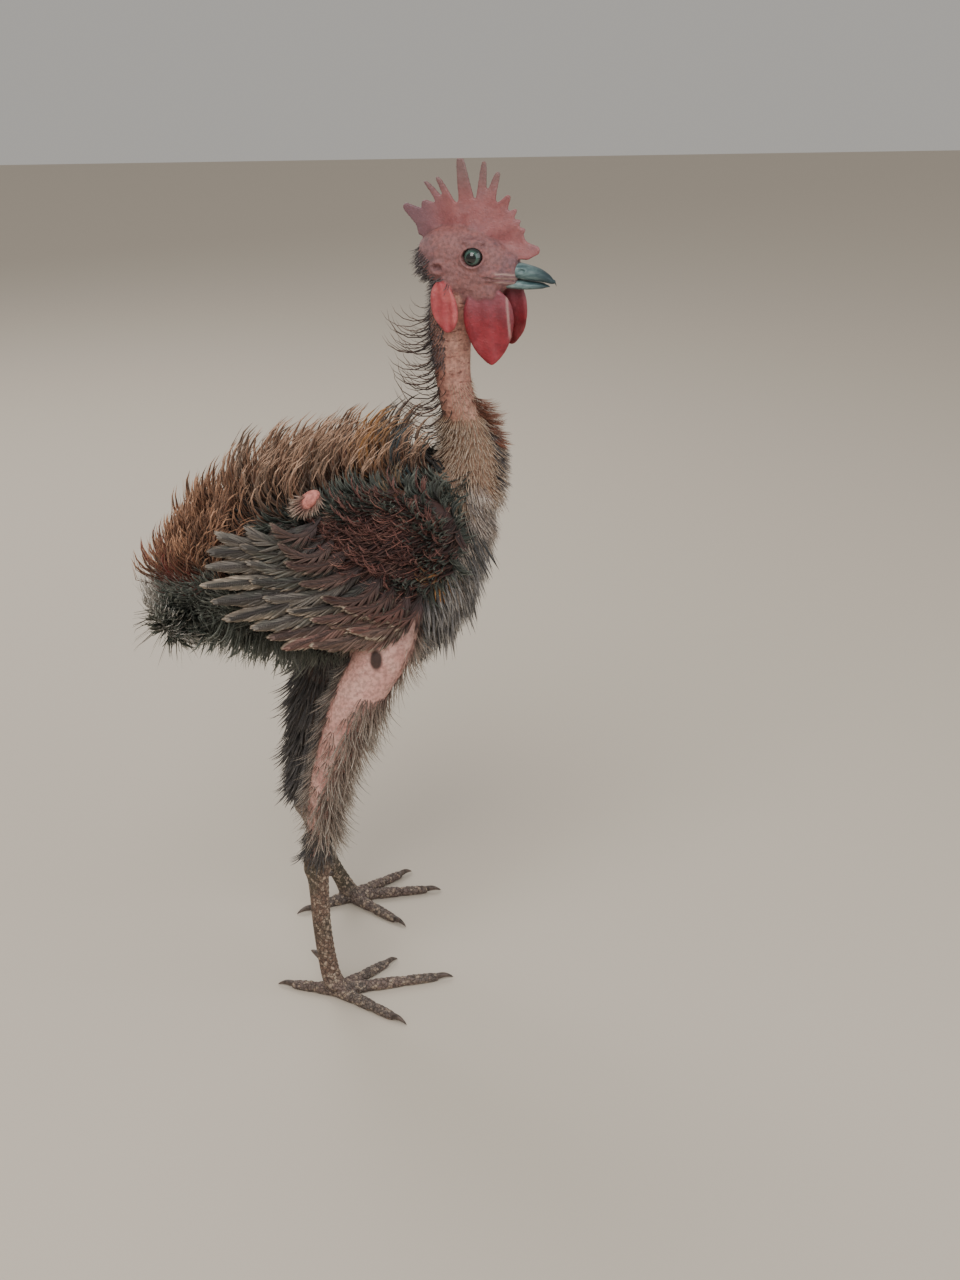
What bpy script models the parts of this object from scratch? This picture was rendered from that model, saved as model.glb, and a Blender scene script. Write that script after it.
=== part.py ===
# A lean, long-legged, bare-necked rooster, standing still, in its own named parts.
# Lengths below are millimetres and become metres where a mesh is made.
# The bird faces +X, its right side is -Y and it stands on z = 0.
import math
import random

import bmesh
import bpy
from mathutils import Matrix, Vector
from mathutils.bvhtree import BVHTree

MM = 0.001
GAP = 0.3
CENTRE = Vector((-7.9, -3.9, 0.0))
ALONG = Vector((1, 0, 0))
ASIDE = Vector((0, 1, 0))
UP = Vector((0, 0, 1))

# Trunk: place along x, middle height, half width, half height.
TRUNK = (
    (-102, 300, 13, 13),
    (-90, 305, 25, 25),
    (-65, 312, 39, 41),
    (-30, 313, 48, 55),
    (10, 311, 52, 64),
    (50, 314, 50, 66),
    (78, 324, 42, 58),
    (95, 338, 30, 42),
    (108, 348, 15, 23),
)
TRUNK_ENDS = (-108, 113)
TRUNK_KEEL = 0.22
TRUNK_POWER = 2.15
TRUNK_SIDES = 20
TRUNK_STATIONS = 13

# Tracts of long feathers on the trunk. Rows run from front to back along x, and round the
# trunk in degrees from its top. Lie is the way the roots point, lift how far they curl.
TRACTS = (
    {"rows": (64, -20, 5), "turns": (-62, 62, 6), "length": 54, "half_width": 8, "curl": (22, 124),
     "upward": 0.75, "rise": 0, "twist": 1.1, "profile": "curl"},
    {"rows": (-40, -94, 4), "turns": (-82, 82, 6), "length": 43, "half_width": 8, "curl": (14, 104),
     "upward": 0.55, "rise": 0, "twist": 1.0, "profile": "curl"},
    {"rows": (98, 72, 2), "turns": (42, 70, 2), "length": 25, "half_width": 5.5, "curl": (30, 120),
     "upward": 0.2, "rise": -0.3, "twist": 0.7, "profile": "lock"},
    {"rows": (112, 80, 4), "turns": (36, 158, 3), "length": 36, "half_width": 5.6, "curl": (12, 30),
     "upward": 0, "rise": -1, "twist": 0.6, "profile": "lock"},
    {"rows": (-34, -92, 3), "turns": (100, 160, 3), "length": 36, "half_width": 5.6, "curl": (14, 66),
     "upward": -0.3, "rise": -0.7, "twist": 0.6, "profile": "lock"},
    {"rows": (48, -10, 2), "turns": (164, 164, 1), "length": 22, "half_width": 4.5, "curl": (30, 60),
     "upward": 0, "rise": -0.4, "twist": 0.5, "profile": "lock"},
)
SEED = 11
TRIES = 8
VANE_THICK = 0.8
VANE_SUNK = 4.0
ROOT_SUNK = 3.0
PROFILES = {
    "curl": (0.45, 0.9, 1.0, 0.75, 0.2),
    "lock": (0.6, 1.0, 0.75, 0.14),
    "flight": (0.55, 0.95, 0.9, 0.3),
    "thread": (1.0, 0.95, 0.85, 0.65, 0.4),
}

# Neck: height, place of its middle along x, half depth, half width.
NECK = (
    (360, 93, 28, 27),
    (384, 97, 20.5, 19.5),
    (397, 96.5, 17, 16.5),
    (410, 92, 14, 13.8),
    (426, 87, 11.8, 11.8),
    (441, 85, 11.8, 11.6),
    (461, 84, 13.2, 12.3),
    (480, 84.5, 14.5, 13),
    (502, 88, 15, 13.5),
)
NECK_SIDES = 14
NECK_STATIONS = 10

# Head: its middle between the eyes, and how far the bill is turned to the right.
HEAD_AT = Vector((92.6, 0.0, 518.0))
HEAD_TURN = math.radians(22)
FORWARD = Vector((math.cos(HEAD_TURN), -math.sin(HEAD_TURN), 0))
LEFT = Vector((math.sin(HEAD_TURN), math.cos(HEAD_TURN), 0))

# Skull and face: place along the head, middle height, half width, half height.
SKULL = (
    (-28, -3, 10, 11),
    (-19, -3, 15, 18),
    (-7, -6, 17, 24),
    (7, -8, 16.8, 25.5),
    (19, -8.5, 14.2, 20.5),
    (29, -8, 11, 13),
    (36, -9.5, 8.6, 10),
)
SKULL_ENDS = (-31.5, 38)
SKULL_SIDES = 20
SKULL_STATIONS = 9
SKULL_POWER = 2.1
EYE_AT = (10, 12.4, 0.8)
EYE_RADIUS = 6.4

# Bill: place along the head, top, bottom, half width.
BEAK_UPPER = (
    (30, -3.5, -12.8, 7.5),
    (42, -4.8, -14.2, 7),
    (50.5, -7, -15, 5.2),
    (56, -10, -15.8, 3.6),
    (59.6, -13, -16.8, 2),
)
BEAK_UPPER_TIP = (62, -18)
BEAK_LOWER = (
    (30, -13.6, -20.4, 6.6),
    (43, -15, -20.6, 6),
    (51, -15.8, -19.8, 4.4),
    (55, -16.6, -19.2, 2.6),
)
BEAK_LOWER_TIP = (57.8, -18.4)
BEAK_POWER = 2.3

# Comb: the turn of each point round the crown, its reach, and its half width in degrees.
COMB_CENTRE = (8, 0)
COMB_POINTS = (
    (5, 43.8, 11),
    (28, 37.5, 5),
    (38, 37.5, 5),
    (48, 40, 5.5),
    (60, 45, 6.5),
    (74.5, 55, 6.5),
    (84, 60, 6),
    (99.4, 62.6, 9),
    (117.5, 54.5, 5.5),
    (126, 56.5, 4.6),
    (139, 47, 6),
    (151, 56.5, 8),
)
COMB_FINGER = ((0, 1), (0.25, 0.94), (0.55, 0.42), (1, 0))
COMB_BLADE = ((0, 34), (45, 34), (64, 37), (90, 33.5), (112, 34), (132, 38), (150, 42), (163, 36))
COMB_WAVE = 1.6
COMB_FIRST = -2
COMB_LAST = 163
COMB_ROOT = 12
COMB_THICK = (9.5, 3.6)

# Wattles and earlobes: the place of each one's middle on the head, half width and half
# height, thickness, lean forward, how far the foot stands out, turn of the rear edge outwards,
# where the widest part is, and the depth and length of the folds.
WATTLE = {"right": (20.5, 12, -43.5), "left": (25, 11, -42.5), "half": (16.4, 24.5), "thick": 5.2,
          "lean": 0.1, "drape": 0.12, "splay": 0.28, "widest": 1.25, "fold": (1.0, 13)}
LOBE = {"right": (-7.5, 19.2, -31), "left": (-7.5, 17.5, -31), "half": (8.8, 16), "thick": 6,
        "lean": 0.2, "drape": 0.15, "splay": 0, "widest": 1, "fold": (0, 1)}
LOBE_EDGE = 0.35
LOBE_SIDES = 10
LOBE_STATIONS = 7
LID_HALF = (7.6, 6.0)
LID_RADIUS = 1.3
LID_POINT = 0.3
EAR_AT = (-13, -7)
EAR_HALF = (4.6, 3.4)
EAR_RIM = 1.0
EAR_PIT = (2.6, 3.2, 2.1)
MOUTH_LINE = ((20, -12.2), (37, -14.2))
MOUTH_DEEP = 2.4
MOUTH_OPEN = 1.1
NOSTRIL_AT = (40, 6.6, -7.8)
NOSTRIL_HALF = (2.6, 1.5, 1.0)

# Wing: middle of the arm, half length, half thickness and half height, and its tilt.
WING_AT = (35, 51, 339)
WING_HALF = (50, 9.5, 38)
WING_TILT = math.radians(8)
ELBOW_AT = (-13, 53, 372)
ELBOW_RADIUS = 9
WING_POWER = 2.3

# Flight feathers, from the elbow to the wrist: share of the way, then x, y and z.
FLIGHT_ROOTS = ((0, -6, 54, 362), (0.5, 26, 56, 332), (1, 52, 56, 311))
FLIGHT_TIPS = (
    (0, -69, 54, 352),
    (0.25, -77, 57, 324),
    (0.42, -64, 60, 304),
    (0.6, -38, 61, 285),
    (0.8, -12, 62, 274),
    (1, 14, 62, 273),
)
FLIGHT_COUNT = 11
FLIGHT_HALF_WIDTH = 7.2
COVERT_COUNT = 8
COVERT_REACH = 0.56
COVERT_LIFT = 3.4
SHINGLE_TURN = math.radians(13)

# Small coverts: rows down the arm, each with its height, x from and to, and how many.
SMALL_COVERTS = ((360, 4, 74, 4), (342, 0, 80, 3), (322, 14, 78, 3))
SMALL_COVERT_LENGTH = 26
SMALL_COVERT_HALF_WIDTH = 5.2

# Loose hackles behind the neck, and tufts before it as rows of height and count.
HACKLES = {"heights": (396, 488), "count": 12, "fan": 34, "length": 44, "half_width": 1.3,
           "outward": 1.8, "flat": 0.6, "curl": (0, 95), "upward": True, "profile": "thread"}
TUFTS = {"rows": ((412, 2), (392, 3)), "fan": 38, "length": 20, "half_width": 3,
         "outward": 0.35, "flat": 1, "curl": (8, 45), "upward": False, "profile": "lock"}

TAIL_ROOT = Vector((-88, 0, 298))
TAIL_TIP = Vector((-112, 0, 276))
TAIL_HALF = (17, 12)
TAIL_RINGS = ((0, 0.85), (0.4, 1), (0.8, 0.7))
TAIL_FEATHERS = {"rows": ((0.55, 9, 1), (0.8, 5, 0.65)), "fan": 75, "length": 33,
                 "half_width": 5, "curl": (6, 105)}
QUILLS = ((-134, -6, 257), (-128, 9, 262), (-124, -14, 250))
QUILL_HALF_WIDTH = 0.9
QUILL_THICK = 1.4
QUILL_ROOT = 0.65

# Legs, near then far: each row is a place on the leg and its half sizes along x and y.
SIDES = {"right": -1, "left": 1}
THIGHS = {
    "right": (
        ((37, -38, 292), 25, 17),
        ((31, -46, 258), 21, 16),
        ((15, -50, 229), 18.5, 15),
        ((2, -53, 197), 15, 13),
        ((-9, -55, 163), 11.5, 11),
        ((-14, -56, 135), 9.2, 9.5),
        ((-16, -56, 114), 8.6, 8.6),
    ),
    "left": (
        ((24, 38, 290), 25, 17),
        ((12, 45, 255), 22, 16),
        ((-3, 49, 225), 19, 15),
        ((-13, 52, 192), 16, 13),
        ((-20, 55, 155), 12, 11),
        ((-23, 57, 125), 9.2, 9.5),
        ((-23, 59, 102), 8.6, 8.6),
    ),
}
SHANKS = {
    "right": (
        ((-16, -56, 116), 8.2, 7.6),
        ((-17, -56, 104), 9.4, 8.4),
        ((-16.5, -56.5, 92), 7.2, 6.6),
        ((-15, -57, 55), 6.4, 5.8),
        ((-11, -58, 22), 6.8, 6.2),
        ((-7, -59, 9), 8.2, 8),
    ),
    "left": (
        ((-23, 59, 104), 8.2, 7.6),
        ((-22.5, 60, 92), 9.4, 8.4),
        ((-19, 61, 80), 7.2, 6.6),
        ((-8, 65, 45), 6.4, 5.8),
        ((3, 69, 20), 6.8, 6.2),
        ((8, 71, 9), 8.2, 8),
    ),
}
SHANK_END = 4.5
THIGH_SIDES = 11
SHANK_SIDES = 10
THIGH_LOCKS = {"start": 0.8, "rows": 4, "turns": (-32, 8, 44, 158), "length": 31, "half_width": 4.6,
               "outward": 0.12, "curl": (10, 34)}
ANKLES = {"right": (-6, -59), "left": (9, 71)}

# Toes: heading in degrees from +X towards the inner side, and length to the claw.
TOES = {
    "right": {"middle": (9, 74), "outer": (-43, 52), "inner": (42, 50), "back": (158, 34)},
    "left": {"middle": (-6, 60), "outer": (-38, 52), "inner": (48, 48), "back": (158, 34)},
}
TOE_PADS = {"middle": 3, "outer": 3, "inner": 2, "back": 2}
TOE_RADIUS = 5.2
TOE_TAPER = 0.38
TOE_WAIST = 0.82
TOE_SIT = 0.88
TOE_SIDES = 8
TOE_FLAT = 0.24
TOE_END = (1.5, 2.5)
CLAW_LENGTH = 12
CLAW_RINGS = ((-0.25, 3.2, 2.3), (0.25, 3.7, 2.1), (0.65, 2.9, 1.4))
CLAW_NARROW = 0.8
CLAW_TIP = 0.6
SPUR_HEIGHT = 30
SPUR_LENGTH = 9
SPUR_RINGS = ((3, 3.6), (7, 3.1), (11, 2))


# A material with one colour, roughness and metallic value.
def make_material(name, colour, roughness, metallic=0.0):
    material = bpy.data.materials.new(name)
    material.use_nodes = True
    shader = material.node_tree.nodes["Principled BSDF"]
    shader.inputs["Base Color"].default_value = (*colour, 1)
    shader.inputs["Roughness"].default_value = roughness
    shader.inputs["Metallic"].default_value = metallic
    return material


# A closed mesh object, its faces turned outwards.
def make_object(name, points, faces):
    mesh = bpy.data.meshes.new(name)
    mesh.from_pydata([(Vector(point) + CENTRE) * MM for point in points], [], faces)
    shape = bmesh.new()
    shape.from_mesh(mesh)
    bmesh.ops.recalc_face_normals(shape, faces=shape.faces)
    bmesh.ops.triangulate(shape, faces=shape.faces)
    shape.to_mesh(mesh)
    shape.free()
    made = bpy.data.objects.new(name, mesh)
    bpy.context.scene.collection.objects.link(made)
    return made


# Smooth values between the rows of a table whose first column rises.
def between(table, place):
    last = len(table) - 2
    row = next((i for i in range(last) if place < table[i + 1][0]), last)
    before, start, end, after = (table[min(max(i, 0), last + 1)] for i in range(row - 1, row + 3))
    span = end[0] - start[0]
    t = (place - start[0]) / span
    values = []
    for column in range(1, len(start)):
        slope_in = (end[column] - before[column]) / (end[0] - before[0]) * span
        slope_out = (after[column] - start[column]) / (after[0] - start[0]) * span
        rise = end[column] - start[column]
        cubic = slope_in + slope_out - 2 * rise
        square = 3 * rise - 2 * slope_in - slope_out
        values.append(start[column] + t * (slope_in + t * (square + t * cubic)))
    return values


# A value on the straight lines between the rows of a table.
def straight_between(table, place):
    for (start, low), (end, high) in zip(table, table[1:]):
        if place <= end:
            return low + (high - low) * (place - start) / (end - start)
    return table[-1][1]


# Evenly spaced values from one end to the other, with the middle alone where there is one.
def spread(first, last, count):
    if count == 1:
        return [(first + last) / 2]
    return [first + (last - first) * k / (count - 1) for k in range(count)]


# One ring of a loft: an oval across two axes, squarer as its power grows.
def oval(centre, across, upward, half_across, half_up, sides, power=2.0, first_turn=0.0):
    ring = []
    for k in range(sides):
        turn = 2 * math.pi * k / sides + first_turn
        cos, sin = math.cos(turn), math.sin(turn)
        reach_across = half_across * math.copysign(abs(cos) ** (2 / power), cos)
        reach_up = half_up * math.copysign(abs(sin) ** (2 / power), sin)
        ring.append(Vector(centre) + across * reach_across + upward * reach_up)
    return ring


# A closed body through rings of equal size, with one point at each end.
def loft(name, rings, first=None, last=None):
    sides = len(rings[0])
    points = [point for ring in rings for point in ring]
    points.append(Vector(first) if first else sum(rings[0], Vector()) / sides)
    points.append(Vector(last) if last else sum(rings[-1], Vector()) / sides)
    start, end = len(points) - 2, len(points) - 1
    faces = []
    for k in range(sides):
        after = (k + 1) % sides
        for row in range(len(rings) - 1):
            low, high = row * sides, (row + 1) * sides
            faces.append((low + k, low + after, high + after, high + k))
        top = (len(rings) - 1) * sides
        faces.append((start, after, k))
        faces.append((end, top + k, top + after))
    return make_object(name, points, faces)


# A ball or egg across three axes, built from rings along the first.
def make_egg(name, centre, axes, halves, sides, stations, power=2.0):
    along, across, upward = axes
    rings = []
    for k in range(1, stations):
        turn = math.pi * k / stations
        place = Vector(centre) - along * halves[0] * math.cos(turn)
        reach = math.sin(turn)
        rings.append(oval(place, across, upward, halves[1] * reach, halves[2] * reach, sides, power))
    first = Vector(centre) - along * halves[0]
    last = Vector(centre) + along * halves[0]
    return loft(name, rings, first, last)


# A round bar bent into a closed loop through the given points.
def make_loop(name, points, radius, sides):
    rings = []
    count = len(points)
    middle = sum(points, Vector()) / count
    for k, point in enumerate(points):
        run = (points[(k + 1) % count] - points[k - 1]).normalized()
        outward = (point - middle - run * run.dot(point - middle)).normalized()
        rings.append(oval(point, outward, run.cross(outward), radius, radius, sides))
    faces = []
    for row in range(count):
        for k in range(sides):
            low, high = row * sides, (row + 1) % count * sides
            after = (k + 1) % sides
            faces.append((low + k, low + after, high + after, high + k))
    return make_object(name, [point for ring in rings for point in ring], faces)


# A copy of an object moved outwards by a distance, for cutting a neighbour clear of it.
def grown(source, distance=GAP):
    copy = source.copy()
    copy.data = source.data.copy()
    bpy.context.scene.collection.objects.link(copy)
    shape = bmesh.new()
    shape.from_mesh(copy.data)
    shape.normal_update()
    moves = [vertex.normal * distance * MM for vertex in shape.verts]
    for vertex, move in zip(shape.verts, moves):
        vertex.co += move
    shape.to_mesh(copy.data)
    shape.free()
    return copy


# The faces that hang together with one face.
def joined_faces(seed):
    found = {seed}
    waiting = [seed]
    while waiting:
        for edge in waiting.pop().edges:
            for other in edge.link_faces:
                if other not in found:
                    found.add(other)
                    waiting.append(other)
    return found


# Keeps the largest closed surface of a mesh and drops the rest.
def keep_largest(owner):
    shape = bmesh.new()
    shape.from_mesh(owner.data)
    bmesh.ops.triangulate(shape, faces=shape.faces)
    left = set(shape.faces)
    bodies = []
    while left:
        body = joined_faces(next(iter(left)))
        left -= body
        size = sum(face.calc_center_median().dot(face.normal) * face.calc_area() for face in body)
        bodies.append((size, body))
    largest = max(bodies, key=lambda entry: entry[0])[1]
    spare = [face for face in shape.faces if face not in largest]
    bmesh.ops.delete(shape, geom=spare, context="FACES")
    shape.to_mesh(owner.data)
    shape.free()


# One Boolean of an object with closed helpers, applied, with the helpers then removed.
def combine(owner, operation, helpers, solver="EXACT"):
    tools = bpy.data.collections.new("helpers")
    bpy.context.scene.collection.children.link(tools)
    for helper in helpers:
        bpy.context.scene.collection.objects.unlink(helper)
        tools.objects.link(helper)
    modifier = owner.modifiers.new("combine", "BOOLEAN")
    modifier.operation = operation
    modifier.solver = solver
    modifier.operand_type = "COLLECTION"
    modifier.collection = tools
    graph = bpy.context.evaluated_depsgraph_get()
    result = bpy.data.meshes.new_from_object(owner.evaluated_get(graph))
    owner.modifiers.clear()
    owner.data = result
    for helper in helpers:
        bpy.data.objects.remove(helper)
    bpy.data.collections.remove(tools)
    keep_largest(owner)


def cut_clear(owner, *neighbours):
    combine(owner, "DIFFERENCE", [grown(neighbour) for neighbour in neighbours])


def finish(owner, material):
    owner.data.materials.clear()
    owner.data.materials.append(material)
    owner.data.shade_smooth()
    owner.data.set_sharp_from_angle(angle=math.radians(50))


# A search tree of an object's surface, in this script's millimetres.
def surface_of(owner):
    mesh = owner.data
    points = [vertex.co / MM - CENTRE for vertex in mesh.vertices]
    return BVHTree.FromPolygons(points, [tuple(face.vertices) for face in mesh.polygons])


# Points and faces of a flat feather along its spine. Both of its faces are split alike.
def vane_shape(spine, side, half_widths, thick):
    points, faces = [], []
    last = len(spine) - 1
    for k, place in enumerate(spine):
        run = (spine[min(k + 1, last)] - spine[max(k - 1, 0)]).normalized()
        across = (side - run * run.dot(side)).normalized() * half_widths[k]
        over = run.cross(across).normalized() * thick * (0.5 if k < last else 0.3)
        points += [place - across + over, place + across + over]
        points += [place + across - over, place - across - over]
    for low in range(0, 4 * last, 4):
        a, b, c, d = range(low, low + 4)
        e, f, g, h = range(low + 4, low + 8)
        faces += [(a, b, f), (a, f, e), (d, g, c), (d, h, g), (b, c, g), (b, g, f), (d, a, e), (d, e, h)]
    end = 4 * last
    faces += [(0, 3, 2), (0, 2, 1), (end, end + 1, end + 2), (end, end + 2, end + 3)]
    return points, faces


# The feathers of one node, laid one by one where they meet no other node and no other feather.
class Plumes:
    def __init__(self, owner, *neighbours):
        self.owner = owner
        self.blocked = [surface_of(neighbour) for neighbour in neighbours]
        self.free_parts = []
        self.shapes = []

    def lay(self, spine, side, half_width, profile, thick=VANE_THICK):
        half_widths = [half_width * share for share in PROFILES[profile]]
        room = [half + GAP for half in half_widths]
        guard = BVHTree.FromPolygons(*vane_shape(spine, side, room, thick + 2 * GAP))
        if any(guard.overlap(other) for other in self.blocked):
            return False
        free = BVHTree.FromPolygons(*vane_shape(spine[1:], side, room[1:], thick + GAP))
        if any(free.overlap(other) for other in self.free_parts):
            return False
        self.free_parts.append(free)
        self.shapes.append(vane_shape(spine, side, half_widths, thick))
        return True

    def join(self):
        helpers = [make_object(f"{self.owner.name}_plume", *shape) for shape in self.shapes]
        combine(self.owner, "UNION", helpers, "MANIFOLD")
        print(self.owner.name, len(self.shapes), "plumes,", len(self.owner.data.polygons), "triangles")


# The part of a direction that is square to a lie.
def across_of(lie, direction):
    return (direction - lie * lie.dot(direction)).normalized()


# A spine that leaves a root along its lie and turns towards its lift, in degrees.
def curled_spine(root, lie, lift, length, curl, profile, sunk=VANE_SUNK):
    steps = len(PROFILES[profile]) - 1
    place = root - (lie * math.cos(math.radians(curl[0])) + lift * math.sin(math.radians(curl[0]))) * sunk
    spine = [place]
    for k in range(steps):
        turn = math.radians(curl[0] + (curl[1] - curl[0]) * k / (steps - 1))
        place = place + (lie * math.cos(turn) + lift * math.sin(turn)) * (length + sunk) / steps
        spine.append(place)
    return spine


# A ring of the trunk at x, narrower below its middle by the keel.
def trunk_point(place, turn):
    middle, half_width, half_height = between(TRUNK, place)
    cos, sin = math.cos(turn), math.sin(turn)
    rise = math.copysign(abs(cos) ** (2 / TRUNK_POWER), cos)
    reach = -math.copysign(abs(sin) ** (2 / TRUNK_POWER), sin)
    keel = 1 - TRUNK_KEEL * max(0, -rise) ** 2
    return Vector((place, half_width * reach * keel, middle + half_height * rise))


def trunk_normal(place, turn):
    along = trunk_point(place + 1, turn) - trunk_point(place - 1, turn)
    around = trunk_point(place, turn + 0.03) - trunk_point(place, turn - 0.03)
    normal = along.cross(around).normalized()
    outward = trunk_point(place, turn) - Vector((place, 0, between(TRUNK, place)[0]))
    return normal if normal.dot(outward) > 0 else -normal


def make_trunk():
    rings = []
    for place in spread(TRUNK[0][0], TRUNK[-1][0], TRUNK_STATIONS):
        rings.append([trunk_point(place, 2 * math.pi * k / TRUNK_SIDES) for k in range(TRUNK_SIDES)])
    return loft("torso", rings, (TRUNK_ENDS[0], 0, TRUNK[0][1]), (TRUNK_ENDS[1], 0, TRUNK[-1][1]))


# Lays the trunk's feathers tract by tract, trying again where one doesn't fit.
def dress_trunk(plumes):
    for tract in TRACTS:
        for row, place in enumerate(spread(*tract["rows"])):
            for turn in spread(*tract["turns"]):
                for mirror in (1, -1) if tract["turns"][0] > 0 else (1,):
                    for _ in range(TRIES):
                        if lay_on_trunk(plumes, tract, row, place, turn * mirror):
                            break


def lay_on_trunk(plumes, tract, row, place, turn):
    first, last, count = tract["turns"]
    shift = (last - first) / max(count - 1, 1) * (row % 2 - 0.5) / 2
    at = place + chance.uniform(-4, 4)
    at = min(max(at, TRUNK[0][0] + 2), TRUNK[-1][0] - 1)
    angle = math.radians(turn + shift + chance.uniform(-4, 4))
    root = trunk_point(at, angle)
    normal = trunk_normal(at, angle)
    wish = Vector((-1, 0, 0)) if tract["rise"] == 0 else Vector((-1 - tract["rise"], 0, tract["rise"]))
    lie = across_of(normal, wish)
    lift = across_of(lie, normal * (1 - abs(tract["upward"])) + UP * tract["upward"])
    length = tract["length"] * chance.uniform(0.86, 1.1)
    curl = [degrees + chance.uniform(-9, 9) for degrees in tract["curl"]]
    spine = curled_spine(root, lie, lift, length, curl, tract["profile"])
    halfway = math.radians(sum(curl) / 2)
    twist = chance.uniform(-1, 1) * tract["twist"]
    edgeways = lift * math.cos(halfway) - lie * math.sin(halfway)
    side = lie.cross(lift) * math.cos(twist) + edgeways * math.sin(twist)
    return plumes.lay(spine, side, tract["half_width"], tract["profile"])


def head_point(along, side, height):
    return HEAD_AT + FORWARD * along + LEFT * side + UP * height


def make_skull():
    rings = []
    for along in spread(SKULL[0][0], SKULL[-1][0], SKULL_STATIONS):
        middle, half_width, half_height = between(SKULL, along)
        centre = head_point(along, 0, middle)
        rings.append(oval(centre, LEFT, UP, half_width, half_height, SKULL_SIDES, SKULL_POWER))
    first = head_point(SKULL_ENDS[0], 0, SKULL[0][1])
    last = head_point(SKULL_ENDS[1], 0, SKULL[-1][1])
    return loft("head", rings, first, last)


# Half the skull's width at a place along the head and a height.
def face_reach(along, height):
    middle, half_width, half_height = between(SKULL, along)
    rise = min(abs(height - middle) / half_height, 1)
    return half_width * (1 - rise**SKULL_POWER) ** (1 / SKULL_POWER)


# An almond or oval on the side of the face, as points that follow its surface.
def face_outline(middle, halves, pointed, count, side):
    points = []
    for k in range(count):
        turn = 2 * math.pi * k / count
        along = middle[0] + halves[0] * math.cos(turn)
        height = middle[1] + halves[1] * math.sin(turn) * (1 - pointed * math.cos(turn) ** 2)
        points.append(head_point(along, side * face_reach(along, height), height))
    return points


# Lids round each eye, a rim round each ear pit, and the line of the mouth in the cheeks.
def shape_face(skull):
    raised, pits = [], []
    for sign in (-1, 1):
        lids = face_outline((EYE_AT[0], EYE_AT[2]), LID_HALF, LID_POINT, 12, sign)
        raised.append(make_loop("lid", lids, LID_RADIUS, 6))
        rim = face_outline(EAR_AT, EAR_HALF, 0, 8, sign)
        raised.append(make_loop("ear_rim", rim, EAR_RIM, 4))
        pit_at = head_point(EAR_AT[0], sign * face_reach(*EAR_AT), EAR_AT[1])
        pits.append(make_egg("ear_pit", pit_at, (LEFT, FORWARD, UP), EAR_PIT, 8, 4))
        spine = []
        for along, height in MOUTH_LINE:
            spine.append(head_point(along, sign * face_reach(along, height), height))
        pits.append(make_object("mouth", *vane_shape(spine, LEFT, (MOUTH_DEEP, MOUTH_DEEP), MOUTH_OPEN)))
    combine(skull, "UNION", raised)
    combine(skull, "DIFFERENCE", pits)


def make_mandible(name, table, tip):
    rings = []
    for along, top, bottom, half_width in table:
        middle, half_height = (top + bottom) / 2, (top - bottom) / 2
        rings.append(oval(head_point(along, 0, middle), LEFT, UP, half_width, half_height, 12, BEAK_POWER))
    return loft(name, rings, None, head_point(tip[0], 0, tip[1]))


def cut_nostrils(beak):
    pits = []
    for sign in (-1, 1):
        at = head_point(NOSTRIL_AT[0], NOSTRIL_AT[1] * sign, NOSTRIL_AT[2])
        pits.append(make_egg("nostril", at, (FORWARD, LEFT, UP), NOSTRIL_HALF, 8, 5))
    combine(beak, "DIFFERENCE", pits)


# How far the comb reaches from its centre at a turn, in degrees from the bill.
def comb_reach(turn):
    blade = straight_between(COMB_BLADE, turn)
    reach = blade
    for at, tip, half in COMB_POINTS:
        share = min(abs(turn - at) / half, 1)
        reach = max(reach, blade + (tip - blade) * straight_between(COMB_FINGER, share))
    return reach


def make_comb():
    turns = {COMB_FIRST, COMB_LAST}
    for at, _, half in COMB_POINTS:
        for share, _ in COMB_FINGER[1:]:
            turns.update((at - half * share, at + half * share))
    turns = sorted(turn for turn in turns if COMB_FIRST <= turn <= COMB_LAST)
    rings = []
    for turn in turns:
        reach = comb_reach(turn)
        angle = math.radians(turn)
        outward = FORWARD * math.cos(angle) + UP * math.sin(angle)
        centre = head_point(COMB_CENTRE[0], COMB_WAVE * math.sin(3 * angle), COMB_CENTRE[1])
        foot, edge = centre + outward * COMB_ROOT, centre + outward * reach
        root_half, edge_half = LEFT * COMB_THICK[0] / 2, LEFT * COMB_THICK[1] / 2
        rings.append([foot - root_half, edge - edge_half, edge + edge_half, foot + root_half])
    return loft("comb", rings)


# A hanging drop with upright folds, thick in its middle.
def make_lobe(name, lobe, side):
    sign = SIDES[side]
    along, out, height = lobe[side]
    centre = head_point(along, out * sign, height)
    half = lobe["half"]
    fold_deep, fold_long = lobe["fold"]
    upward = (UP - FORWARD * lobe["lean"] - LEFT * sign * lobe["drape"]) * half[1]
    lengthways = (FORWARD - LEFT * sign * lobe["splay"]).normalized()
    across = UP.cross(lengthways)
    rings = []
    for k in range(1, LOBE_STATIONS):
        share = k / LOBE_STATIONS
        width = half[0] * math.sin(math.pi * share ** lobe["widest"])
        deep = lobe["thick"] / 2 * (LOBE_EDGE + (1 - LOBE_EDGE) * math.sin(math.pi * share))
        ring = oval(centre - upward * math.cos(math.pi * share), lengthways, across, width, deep, LOBE_SIDES)
        for point in ring:
            at = (point - centre).dot(lengthways)
            point += across * sign * fold_deep * math.sin(2 * math.pi * at / fold_long + 4 * share)
        rings.append(ring)
    return loft(name, rings, centre - upward, centre + upward)


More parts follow.
